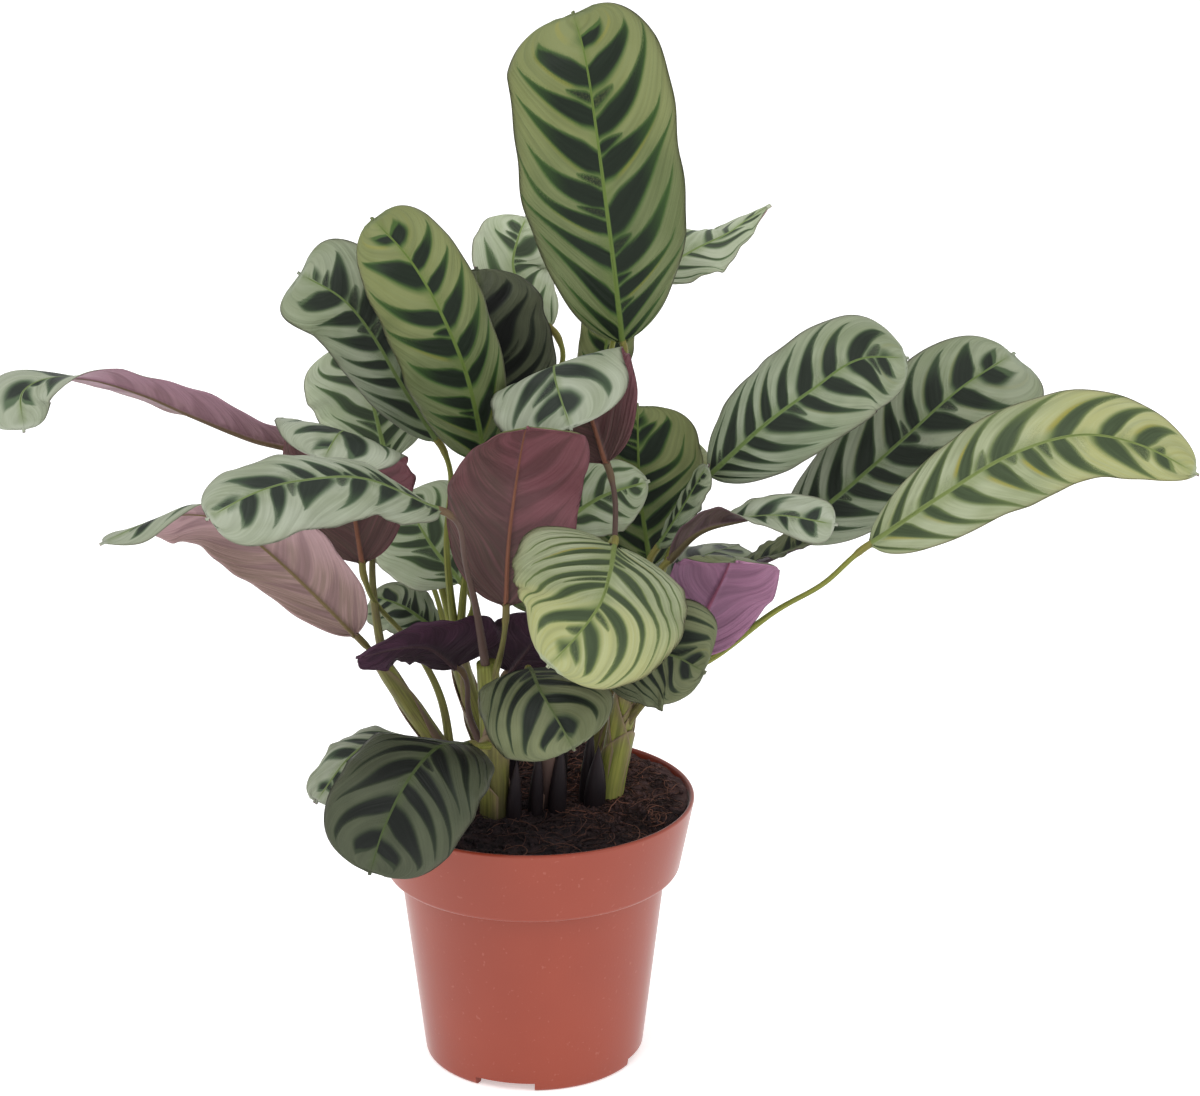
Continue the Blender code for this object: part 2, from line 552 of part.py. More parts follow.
def add_blade(name, leaf, material):
    """A thin solid: the sheet of triangles, thickened both ways."""
    route = Route(leaf.midrib)
    across = [-c for c in reversed(BLADE_HALF_COLUMNS)] + [0] + list(BLADE_HALF_COLUMNS)
    columns = len(across)
    points = []
    for share in BLADE_ROWS:
        points += [blade_point(leaf, route, share, c) for c in across]
    faces = []
    for row in range(len(BLADE_ROWS) - 1):
        for column in range(columns - 1):
            a = row * columns + column
            b = a + 1
            c = a + columns + 1
            d = a + columns
            if column < columns // 2:
                faces += [(a, b, d), (b, c, d)]
            else:
                faces += [(a, b, c), (a, c, d)]
    blade = add_object(name, points, faces, material)
    solid = blade.modifiers.new("thickness", "SOLIDIFY")
    solid.thickness = BLADE_THICKNESS * MM
    solid.offset = 0
    apply_modifiers(blade)


def tube(name, route, radius_at, material, sides=TUBE_SIDES):
    """A closed tube along a route."""
    rings = max(3, round(route.length / TUBE_RING_GAP)) + 1
    shares = [k / (rings - 1) for k in range(rings)]
    pulvinus = 1 - PULVINUS_LENGTH / route.length
    if radius_at(1) < PETIOLE_FOOT_RADIUS and pulvinus > 0.5:
        shares = [s for s in shares if s < pulvinus - 0.06] + [pulvinus, 1.0]
    guide = Vector((1, 0, 0))
    points = []
    for share in shares:
        heading = route.heading(share)
        guide = (guide - heading * guide.dot(heading)).normalized()
        other = heading.cross(guide)
        for k in range(sides):
            angle = 2 * math.pi * k / sides
            arm = guide * math.cos(angle) + other * math.sin(angle)
            points.append(route.at(share) + arm * radius_at(share))
    faces = [tuple(reversed(range(sides)))]
    for ring in range(len(shares) - 1):
        for k in range(sides):
            a = ring * sides + k
            b = ring * sides + (k + 1) % sides
            faces.append((a, b, b + sides, a + sides))
    top = (len(shares) - 1) * sides
    faces.append(tuple(range(top, top + sides)))
    return add_object(name, points, faces, material)


def petiole_route(leaf, stem):
    """From inside the stem, by the leaf's own way points, to just short of its blade."""
    midrib = Route(leaf.midrib)
    base = Vector(leaf.midrib[0])
    heading = midrib.heading(0.0)
    points = [stem.at(leaf.start - PETIOLE_ROOT), stem.at(leaf.start)]
    points += list(leaf.via)
    points += [base - heading * (PULVINUS_LENGTH + 3), base - heading * BLADE_SEAT]
    return Route(points)


def petiole_radius(share):
    if share >= 0.999:
        return PULVINUS_RADIUS
    return PETIOLE_FOOT_RADIUS + (PETIOLE_RADIUS - PETIOLE_FOOT_RADIUS) * share


def add_spear(name, spear, soil_z, material):
    """A short pointed shoot that leans on its stem and is one with it under the soil."""
    x, y, top, radius = spear
    route = Route([(x, y, soil_z - STEM_FOOT_DEPTH + 2), (x, y, soil_z), (x, y, top)])

    def spear_radius(share):
        return radius * math.sqrt(max(1 - share ** 3, 0.01))

    return tube(name, route, spear_radius, material)


def add_shoot(name, shoot, material):
    """A sheathed stem with its spears and the petioles of its leaves, in one body."""
    foot = shoot.stem[0]
    sunk = (foot[0], foot[1], foot[2] - STEM_FOOT_DEPTH)
    low = (foot[0], foot[1], foot[2] - STEM_FOOT_DEPTH / 2)
    stem_route = Route([sunk, low] + shoot.stem)
    leaves_route = Route(shoot.stem)

    def stem_radius(share):
        return shoot.radii[0] + (shoot.radii[1] - shoot.radii[0]) * share ** 1.5

    stem = tube(name, stem_route, stem_radius, material, STEM_SIDES)
    parts = [add_spear(name + "_spear", spear, foot[2], material) for spear in shoot.spears]
    for leaf_name, one in LEAVES.items():
        if one.shoot == name:
            parts.append(tube(leaf_name + "_petiole", petiole_route(one, leaves_route),
                              petiole_radius, material))
    combine(stem, parts, "UNION")


def build():
    clear_scene()
    pot_plastic = make_material("terracotta_plastic", (0.42, 0.115, 0.08), 0.45)
    soil_peat = make_material("peat_soil", (0.035, 0.02, 0.014), 0.95)
    stem_green = make_material("stem_green", (0.16, 0.24, 0.07), 0.5)
    leaf_green = make_material("leaf_green", (0.17, 0.27, 0.12), 0.45)
    add_pot(pot_plastic)
    add_soil(soil_peat)
    for name, shoot in SHOOTS.items():
        add_shoot(name, shoot, stem_green)
    for name, one in LEAVES.items():
        add_blade(name, one, leaf_green)


build()
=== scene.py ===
"""The looks of a potted ctenanthe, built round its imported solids.

Places and sizes are in millimetres, in the solids' own frame, and are scaled to metres as the
meshes are made. Colours are written as a screen shows them, from 0 to 255.
"""

import json
import math
import random
from collections import namedtuple

import bpy
import numpy as np
from mathutils import Matrix, Vector, noise

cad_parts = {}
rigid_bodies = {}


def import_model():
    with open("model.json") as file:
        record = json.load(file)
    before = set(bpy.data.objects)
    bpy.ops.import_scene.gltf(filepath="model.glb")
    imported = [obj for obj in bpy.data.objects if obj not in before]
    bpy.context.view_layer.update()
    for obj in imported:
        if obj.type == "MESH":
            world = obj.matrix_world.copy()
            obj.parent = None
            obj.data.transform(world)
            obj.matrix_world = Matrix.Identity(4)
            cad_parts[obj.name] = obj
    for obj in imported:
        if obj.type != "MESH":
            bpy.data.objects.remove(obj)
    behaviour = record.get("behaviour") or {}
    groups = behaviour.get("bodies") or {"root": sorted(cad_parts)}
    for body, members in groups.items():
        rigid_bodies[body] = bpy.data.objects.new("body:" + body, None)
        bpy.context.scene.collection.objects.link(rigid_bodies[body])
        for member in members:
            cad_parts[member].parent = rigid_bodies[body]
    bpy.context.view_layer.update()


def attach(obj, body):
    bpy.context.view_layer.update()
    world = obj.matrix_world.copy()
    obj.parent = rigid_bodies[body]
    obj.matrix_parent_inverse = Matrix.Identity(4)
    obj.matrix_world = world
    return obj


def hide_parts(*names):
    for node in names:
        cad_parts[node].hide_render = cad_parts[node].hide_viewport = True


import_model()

MM = 0.001

# Camera: the photograph's own, in metres and degrees
CAMERA_PLACE = (0.0, -1.1, 0.546)
CAMERA_TILT = 72.4
CAMERA_TURN = -1.3
CAMERA_LENS = 95.67
SENSOR_WIDTH = 36.0

# Light: a white room, a large key lamp and a smaller fill, in metres and watts
WORLD_STRENGTH = 0.95
LIGHT_TARGET = (0, 0, 0.2)
KEY_PLACE = (-0.7, -0.8, 1.7)
KEY_SIZE = 1.3
KEY_POWER = 13.0
FILL_PLACE = (1.2, -0.9, 1.0)
FILL_SIZE = 1.0
FILL_POWER = 4.0
FLOOR_REACH = 12.0
FLOOR_GLOW = 0.4

# Pot: the same section as its solid, with round edges and finer sides
POT_HEIGHT = 102.0
LIP_RADIUS = 60.0
BAND_FOOT_RADIUS = 54.8
BAND_FOOT_Z = 75.0
BODY_TOP_RADIUS = 49.4
BODY_TOP_Z = 73.0
BODY_FOOT_RADIUS = 41.2
FOOT_RADIUS = 40.0
WALL = 1.3
CENTRE_DISC_RADIUS = 14.0
DISC_TOP_Z = 1.6
GUTTER_Z = 4.0
POT_SIDES = 180
NOTCH_ANGLE = math.radians(32.0)
NOTCH_HEIGHT = 3.4
NOTCH_COUNT = 4
NOTCH_STEPS = 20
NOTCH_REACH = 6.0
DRAIN_RADIUS = 3.2
DRAIN_RING_RADIUS = 26.0
DRAIN_COUNT = 8
DRAIN_SIDES = 28
CUT_PAST = 2.0
POT_ROUNDING = 0.7
CORNER_STEPS = 4
SHARP_ANGLE = math.radians(40.0)

# Soil: a rough top on the solid's own body, with crumbs and coir fibres
SOIL_EDGE_Z = 98.2
SOIL_RISE = 1.4
SOIL_HEAP = 2.4
SOIL_HUMPS = 0.7
SOIL_LUMPS = 0.9
SOIL_CLEARANCE = 0.5
SOIL_RINGS = 60
SOIL_SIDES = 200
SOIL_DEPTH = 14.0
CRUMB_COUNT = 1500
CRUMB_SIZE = 1.7
CRUMB_RISE = 0.25
CRUMB_POINTS = ((1, 0, 0), (-1, 0, 0), (0, 1, 0), (0, -1, 0), (0, 0, 1), (0, 0, -1))
CRUMB_FACES = ((0, 2, 4), (2, 1, 4), (1, 3, 4), (3, 0, 4),
               (2, 0, 5), (1, 2, 5), (3, 1, 5), (0, 3, 5))
FIBRE_COUNT = 1500
FIBRE_STEPS = 9
FIBRE_SIDES = 5
FIBRE_GAP = 1.3
FIBRE_RISE = 0.1
FIBRE_EDGE_GAP = 1.5

# Blades: fine sheets with a round rib below and thin margins
BLADE_HALF_THICKNESS = 0.3
BLADE_ROWS = 96
INNER_COLUMNS = 4
OUTER_COLUMNS = 13
ROW_CROWDING = 0.6
BLADE_BASE_HALF_WIDTH = 1.4
BLADE_TIP_HALF_WIDTH = 0.45
RIPPLE_TURN = 19.0
RIPPLE_SHIFT = 2.2
FINE_RIPPLE = 0.35
FINE_RIPPLE_TURN = 52.0
FLAT_DOME = 1e-4
WANDER = 1.2
QUILTING = 0.3
NECK_LENGTH = 5.0
NECK_RISE = 0.95
RIB_RISE = 0.1
RIB_DROP = 1.1
RIB_DROP_TIP = 0.25
FIRST_SEED = 3
SEED_STEP = 11
TIP_ROWS = ((0.4, 0.35), (0.8, 0.2), (1.2, 0.08))
VEIN_LEAN = 0.55
VEIN_SWEEP = 0.75
VEIN_SWEEP_POWER = 2.8
LEFT_COURSE = 40.5
LONG_TAIL = 0.2
SHORT_BOLDNESS = 0.16
SHORT_ROUNDNESS = 0.6
SHORT_MISSING = 0.6

# Stems and petioles
STEM_SIDES = 24
PETIOLE_SIDES = 16
STEM_GAP = 2.0
PETIOLE_GAP = 1.6
SPEAR_GAP = 1.0
SPEAR_TINT = 1.6
PETIOLE_RADIUS = 1.0
PETIOLE_FOOT_RADIUS = 2.0
PULVINUS_RADIUS = 1.35
PULVINUS_LENGTH = 9.0
PETIOLE_ROOT = 0.12
BLADE_SEAT = -0.4
STEM_FOOT_DEPTH = 22.0
PETIOLE_TINT = 0.35
PETIOLE_STEP = 4.0
PETIOLE_EASING = 6
CORE_INSET = 1.5
SHEATH_COLUMNS = 22
SHEATH_ROWS = 26
SHEATH_WRAP = 5.2
SHEATH_SLANT = 0.5
SHEATH_LAP = 0.35
SHEATH_FLARE = 0.7
SHEATH_THICKNESS = 0.45
SHEATH_STEP = 0.14
SHEATH_RISE = 0.06

# A leaf's form has the values of its solid. Its petiole leaves the shoot's stem at start, a share
# of the stem's length, and passes the via points. The midrib runs from base to tip, and faces says
# which way the upper side looks at even steps along it. Fold is the bend at the midrib and dome the
# further bend out to the margin, in degrees from base to tip, above zero where the sides go down.
# Ripple is the height of the margin's waves. The other pairs are for the half left and the half
# right of the midrib: halves scales the widths, widest is the share of the length where the half is
# widest, a higher blunt fills the tip out, lobe draws the base corner back and crest draws the tip
# corner on.
Leaf = namedtuple(
    "Leaf", "shoot midrib faces width start via halves fold dome ripple widest blunt lobe crest",
    defaults=(0.8, (), (1, 1), (0, 0), (20, 20), 1.2, (0.56, 0.56), (4.0, 4.0), (0, 0), (0, 0)))
Shoot = namedtuple("Shoot", "stem radii spears")
Tone = namedtuple("Tone", "ground light edge mark midrib margin warm")
Under = namedtuple("Under", "ground deep mark midrib")
Look = namedtuple("Look", "tone under reach roundness boldness marks crowding", defaults=(0.1,))

SHOOTS = dict(
    left=Shoot(
        stem=[(-23, 1, 100), (-34, -3, 121), (-47, -9, 144), (-56, -15, 162)],
        radii=(5.0, 3.0), spears=[]),
    front=Shoot(
        stem=[(-14, -14, 100), (-14, -15, 120), (-15, -17, 142), (-16, -19, 160)],
        radii=(6.0, 4.0), spears=[(-7, -17, 122, 3.0)]),
    middle=Shoot(
        stem=[(4, -6, 100), (5, -8, 114), (5, -9, 130), (6, -10, 146)],
        radii=(4.8, 3.0), spears=[(9, -10, 127, 3.6), (1, -12, 126, 2.9)]),
    right=Shoot(
        stem=[(28, 2, 100), (31, 2, 117), (34, 1, 135), (37, -1, 150)],
        radii=(5.8, 4.0), spears=[(23, -5, 123, 4.2), (20, -1, 132, 3.0)]),
    back_left=Shoot(
        stem=[(-14, 16, 100), (-19, 17, 119), (-25, 17, 140), (-30, 16, 160)],
        radii=(4.8, 3.0), spears=[(-8, 13, 124, 3.0)]),
    back=Shoot(
        stem=[(5, 21, 100), (6, 23, 120), (7, 24, 145), (8, 25, 170)],
        radii=(4.8, 3.0), spears=[(10, 17, 124, 3.2)]),
    back_right=Shoot(
        stem=[(22, 22, 100), (27, 23, 119), (33, 22, 140), (40, 20, 158)],
        radii=(4.4, 2.8), spears=[]),
)

LEAVES = dict(
    crown=Leaf(
        "back", [(33, 4, 273), (29, -6, 308), (24, -10, 347), (20, -4, 374), (16, 10, 388)],
        [(0, -1, 0.1), (0, -1, 0.1), (-0.1, -0.8, 0.6)], 62, via=[(7, 24, 205), (12, 19, 236)],
        halves=(0.94, 0.94), dome=(20, 22), widest=(0.56, 0.5), blunt=(6.0, 4.0), crest=(3, 13)),
    crown_right=Leaf(
        "back", [(44, 32, 290), (60, 39, 298), (73, 45, 303), (79, 50, 306), (88, 54, 311)],
        [(-0.5, -0.5, 0.7), (-0.5, -0.4, 0.75)], 38, via=[(14, 30, 215), (30, 32, 262)],
        widest=(0.4, 0.4), blunt=(1.1, 1.1), halves=(1.15, 0.8)),
    crown_left=Leaf(
        "back", [(7, 38, 270), (-2, 42, 281), (-6, 46, 291), (-4, 52, 300), (-1, 60, 306)],
        [(0.3, -0.8, 0.2), (0.2, -0.5, 0.8)], 30, via=[(6, 38, 205), (3, 40, 238)],
        halves=(1, 1.1)),
    pair_right=Leaf(
        "back_left", [(-16, 0, 230), (-22, -9, 263), (-31, -17, 289), (-41, -17, 307),
                      (-54, -5, 319)],
        [(0.2, -0.95, 0.1), (0.1, -0.9, 0.3), (0, -0.7, 0.6)], 38, via=[(-22, 6, 198)],
        halves=(1.14, 0.94), dome=(26, 30), widest=(0.4, 0.72), blunt=(3.4, 6.0), crest=(0, 5)),
    pair_left=Leaf(
        "back_left", [(-34, 8, 236), (-46, 6, 257), (-56, 4, 276), (-66, 3, 289), (-81, 8, 297)],
        [(-0.1, -0.95, 0.2), (-0.1, -0.9, 0.35)], 35, via=[(-31, 8, 200)], dome=(24, 18),
        halves=(1.0, 1.12), widest=(0.75, 0.6), blunt=(9.0, 6.0), crest=(4, 4)),
    shaded=Leaf(
        "back", [(-7, 22, 232), (-12, 25, 256), (-17, 27, 279), (-19, 35, 292)],
        [(0.1, -1, 0.1), (0, -0.9, 0.4)], 47, via=[(0, 24, 205)]),
    behind_pair=Leaf(
        "back_left", [(-53, 32, 222), (-58, 36, 242), (-66, 44, 263)],
        [(-0.1, -1, 0.2), (0, -0.9, 0.4)], 46, via=[(-35, 32, 178), (-48, 36, 202)]),
    reaching_left=Leaf(
        "left", [(-68, 20, 220), (-83, 16, 229), (-100, 9, 236), (-119, 0, 247), (-139, -6, 258),
                 (-159, -16, 266), (-175, -26, 264), (-175, -33, 252)],
        [(0.1, 0.75, 0.65), (0.1, 0.75, 0.65), (0, 0.6, 0.8), (-0.1, -0.75, 0.6)], 31,
        via=[(-58, 4, 185)], start=0.9, halves=(0.7, 1), fold=(-60, 10), dome=(-10, 10),
        widest=(0.84, 0.84)),
    folded_left=Leaf(
        "left", [(-61, -2, 193), (-64, 1, 216), (-65, -6, 240), (-67, -20, 246), (-72, -32, 240)],
        [(0.1, 1, 0.1), (0.2, 0.9, 0.4), (0.27, 0.2, 0.93), (0.15, -0.5, 0.85)], 50,
        via=[(-33, 4, 138), (-45, 7, 160)], start=0.2, dome=(12, 12)),
    left_underside=Leaf(
        "left", [(-63, -24, 173), (-77, -30, 191), (-92, -37, 209), (-105, -47, 223),
                 (-122, -57, 228), (-145, -66, 221)],
        [(0, 0.95, 0.3), (-0.1, 0.85, 0.5), (-0.1, 0.8, 0.6), (-0.1, 0.7, 0.7), (-0.2, -0.5, 0.85)],
        50, start=0.95, halves=(1.05, 0.6), dome=(15, 50), blunt=(1.2, 2.2)),
    left_front=Leaf(
        "front", [(-32, -50, 227), (-56, -70, 244), (-77, -86, 248), (-91, -97, 247),
                  (-105, -104, 241)],
        [(-0.1, -0.4, 0.9), (-0.2, -0.6, 0.8), (-0.3, -0.8, 0.5)], 38,
        via=[(-20, -27, 186), (-24, -38, 208)], halves=(1, 0.85), dome=(20, 30), blunt=(5.0, 5.0)),
    centre_underside=Leaf(
        "front", [(-9, -25, 184), (-8, -21, 205), (-5, -25, 230), (-2, -38, 251), (-1, -46, 255)],
        [(0, 1, 0.1), (0, 1, 0.1), (0, 0.2, 1)], 48, dome=(10, 14), widest=(0.56, 0.5),
        blunt=(5.0, 1.5)),
    centre_folded=Leaf(
        "right", [(27, -2, 230), (20, 1, 250), (10, -9, 267), (9, -24, 266), (14, -36, 252)],
        [(0.2, 1, 0.2), (0, 1, 0.3), (-0.4, 0, 0.9), (-0.2, -0.9, 0.4)], 51,
        via=[(31, -4, 170), (30, -6, 204)], dome=(10, 12), widest=(0.7, 0.7)),
    front_dome=Leaf(
        "middle", [(29, -36, 209), (27, -58, 206), (23, -77, 201), (15, -89, 194), (6, -92, 185)],
        [(0.3, -0.5, 0.8), (0.1, -0.65, 0.75), (-0.1, -0.9, 0.35)], 66, via=[(18, -14, 180)],
        dome=(8, 30), widest=(0.38, 0.26), blunt=(2.7, 2.4), lobe=(12, 15), halves=(0.9, 1.0)),
    centre_right=Leaf(
        "back_right", [(44, 20, 184), (40, 17, 213), (39, 22, 244)],
        [(0, -1, 0.1), (0, -0.9, 0.3)], 48, start=0.9),
    small_centre=Leaf(
        "back_right", [(12, 7, 205), (26, 5, 215), (42, 6, 220)],
        [(-0.1, -0.9, 0.4), (0.1, -0.9, 0.4)], 31, via=[(20, 12, 178)], start=0.5,
        widest=(0.5, 0.5), blunt=(1.8, 1.8), fold=(14, 14)),
    right_inner=Leaf(
        "right", [(65, 2, 224), (83, -9, 245), (99, -14, 259), (115, -14, 270), (133, -7, 269)],
        [(0.1, -0.85, 0.5), (0.1, -0.8, 0.6)], 41, via=[(46, 10, 178), (54, 9, 202)],
        dome=(24, 28)),
    right_middle=Leaf(
        "back_right", [(94, 14, 197), (111, 13, 211), (134, 11, 233), (155, 13, 252),
                       (175, 21, 263)],
        [(0.1, -0.85, 0.5), (0.2, -0.8, 0.6)], 45, via=[(64, 18, 174)], halves=(0.94, 1.05),
        dome=(24, 24), blunt=(4.0, 8.0), widest=(0.5, 0.62), crest=(-2, 10)),
    right_outer=Leaf(
        "right", [(121, -22, 205), (145, -32, 226), (167, -38, 242), (190, -42, 250),
                  (210, -44, 247), (231, -42, 236)],
        [(-0.1, -0.75, 0.65), (0, -0.75, 0.65), (0.3, -0.85, 0.4)], 37,
        via=[(64, -8, 156), (89, -13, 178), (107, -17, 189)], dome=(18, 24), blunt=(2.8, 1.7),
        widest=(0.5, 0.46)),
    rolled_right=Leaf(
        "right", [(50, -9, 195), (60, -14, 207), (74, -19, 213), (88, -24, 216), (107, -28, 214)],
        [(-0.2, 0.8, 0.6), (-0.2, 0.7, 0.7), (-0.1, -0.5, 0.8), (0, -0.95, 0.3)], 17,
        via=[(42, -5, 175)], fold=(-64, 4), dome=(-10, 10), ripple=0.6, widest=(0.82, 0.82)),
    edge_on_right=Leaf(
        "right", [(46, -2, 198), (54, -4, 212), (63, -6, 229)],
        [(-0.8, -0.4, 0.5), (-0.8, -0.4, 0.5)], 16, via=[(41, 0, 176)], ripple=0.6),
    pink_right=Leaf(
        "right", [(55, -22, 164), (63, -17, 179), (69, -19, 193), (71, -28, 202), (72, -38, 204)],
        [(0.2, 1, 0.1), (0.1, 0.9, 0.4), (0.1, 0, 1)], 38, start=0.5, via=[(46, -12, 148)],
        dome=(8, 14), blunt=(2.6, 3.4)),
    narrow_right=Leaf(
        "right", [(74, -2, 188), (88, 0, 193), (103, 2, 199)],
        [(0, 0.2, 1), (-0.2, -0.2, 1)], 18, via=[(54, 0, 168)], fold=(-30, -30), ripple=0.6),
    low_right=Leaf(
        "middle", [(26, -28, 161), (37, -38, 170), (49, -46, 172), (60, -49, 167)],
        [(-0.3, -0.6, 0.75), (-0.4, -0.85, 0.3), (0.1, -1, 0.1)], 42, via=[(17, -15, 150)],
        dome=(20, 30)),
    low_centre=Leaf(
        "middle", [(-1, -24, 159), (0, -42, 165), (3, -60, 164), (9, -71, 157), (14, -76, 149)],
        [(0, -0.2, 1), (-0.1, -0.6, 0.8), (-0.1, -0.9, 0.3)], 50, start=0.5, via=[(3, -14, 140)],
        dome=(26, 30), halves=(0.92, 0.96), widest=(0.54, 0.66), blunt=(4.0, 3.0)),
    low_front_left=Leaf(
        "front", [(-23, -38, 136), (-33, -62, 144), (-43, -78, 138), (-51, -86, 124),
                  (-56, -86, 108)],
        [(0, -0.3, 1), (-0.1, -0.7, 0.7), (-0.1, -1, 0.1)], 49, start=0.5, via=[(-18, -26, 128)],
        dome=(24, 26), crest=(4, 0), halves=(1.04, 1)),
    low_left_behind=Leaf(
        "left", [(-40, -20, 130), (-51, -31, 137), (-64, -43, 134), (-76, -53, 121)],
        [(-0.2, -0.3, 0.9), (-0.4, -0.6, 0.7)], 25, start=0.3, via=[(-34, -12, 124)]),
    dark_left=Leaf(
        "front", [(-28, -6, 154), (-37, -16, 165), (-47, -27, 169), (-61, -37, 169)],
        [(-0.2, 0.85, 0.5), (-0.2, 0.8, 0.5)], 33, start=0.3, via=[(-25, -6, 138)], dome=(10, 10),
        halves=(1.52, 0.6), widest=(0.3, 0.5), blunt=(1.2, 5.0), lobe=(7, 0)),
    dark_centre=Leaf(
        "middle", [(-8, 6, 148), (-1, -1, 160), (6, -8, 174)],
        [(0, 0.8, 0.5), (0, 0.7, 0.6)], 36, start=0.3, via=[(-3, 4, 132)], dome=(10, 10)),
    inner_left=Leaf(
        "back_left", [(-26, 20, 178), (-36, 21, 191), (-43, 24, 202), (-48, 28, 208)],
        [(-0.2, -0.9, 0.3), (-0.2, -0.8, 0.5)], 42, start=0.95),
    small_left=Leaf(
        "back_left", [(-36, 34, 154), (-48, 38, 162), (-60, 46, 164)],
        [(-0.2, -0.5, 0.85), (-0.2, -0.5, 0.85)], 24, start=0.5, via=[(-26, 26, 142)]),
    behind_crown=Leaf(
        "back", [(26, 42, 234), (27, 45, 250), (29, 49, 266), (31, 54, 280)],
        [(0, -1, 0.2), (0, -0.9, 0.4)], 21, via=[(14, 42, 205)]),
    back_right=Leaf(
        "back_right", [(36, 48, 188), (46, 72, 208), (54, 98, 214)],
        [(0.1, 0.1, 1), (0.2, 0.3, 0.9)], 42, via=[(38, 34, 174)]),
    back_left=Leaf(
        "back_left", [(-40, 50, 172), (-52, 74, 186), (-60, 98, 188)],
        [(-0.1, 0.1, 1), (-0.2, 0.3, 0.9)], 42, via=[(-34, 34, 160)]),
    back_low=Leaf(
        "back", [(4, 48, 156), (6, 74, 170), (8, 102, 168)],
        [(0, 0, 1), (0, 0.4, 0.9)], 44, start=0.5, via=[(6, 34, 142)]),
    back_low_right=Leaf(
        "back_right", [(48, 44, 158), (64, 62, 172), (80, 80, 172)],
        [(0, 0, 1), (0.3, 0.3, 0.9)], 38, start=0.5, via=[(38, 32, 144)]),
)


TONES = dict(
    sage=Tone((88, 98, 62), (102, 111, 76), (52, 79, 35), (24, 32, 23), (88, 106, 50), (90, 88, 60),
              0.28),
    # The silver tone is partly the leaves' own silvery colour and partly painted sheen
    silver=Tone((127, 135, 112), (149, 155, 138), (64, 82, 58), (38, 44, 38), (100, 116, 70),
                (118, 116, 100), 0.0),
    # The pale tone is painted light: a lightened copy of silver for leaves that lie in shade
    pale=Tone((152, 164, 132), (172, 180, 156), (80, 104, 64), (58, 68, 52), (118, 138, 80),
              (140, 138, 116), 0.0),
    fresh=Tone((130, 138, 104), (149, 156, 128), (90, 105, 60), (56, 67, 46), (104, 118, 66),
               (122, 116, 82), 0.8),
    cool=Tone((111, 122, 97), (134, 142, 122), (54, 72, 46), (32, 38, 31), (90, 108, 60),
              (106, 104, 86), 0.1),
    dull=Tone((84, 91, 66), (103, 109, 83), (50, 62, 42), (28, 33, 28), (80, 92, 56), (90, 90, 74),
              0.1),
    deep=Tone((60, 65, 50), (72, 77, 60), (38, 46, 32), (22, 25, 22), (64, 76, 44), (76, 75, 60),
              0.0),
    # The shade tone is painted shade: a darkened copy for the leaf that stands in shade
    shade=Tone((66, 71, 55), (82, 87, 67), (36, 44, 32), (20, 22, 20), (66, 76, 44), (64, 62, 50),
               0.0),
)
WARM_EDGE = (142, 132, 44)
WARM_GROUND = (156, 155, 92)

# An underside's deep colour, towards one side of its base, is partly painted shade
UNDERS = dict(
    mauve=Under((138, 106, 118), (106, 82, 76), (102, 72, 80), (92, 74, 54)),
    rose=Under((150, 122, 124), (116, 96, 86), (104, 78, 82), (100, 86, 54)),
    maroon=Under((106, 66, 72), (72, 58, 52), (68, 46, 46), (118, 76, 58)),
    pink=Under((138, 97, 122), (110, 80, 100), (106, 74, 94), (122, 70, 90)),
    violet=Under((66, 42, 58), (46, 38, 42), (44, 31, 41), (66, 48, 52)),
    plum=Under((88, 64, 74), (76, 64, 58), (62, 46, 52), (84, 74, 50)),
)

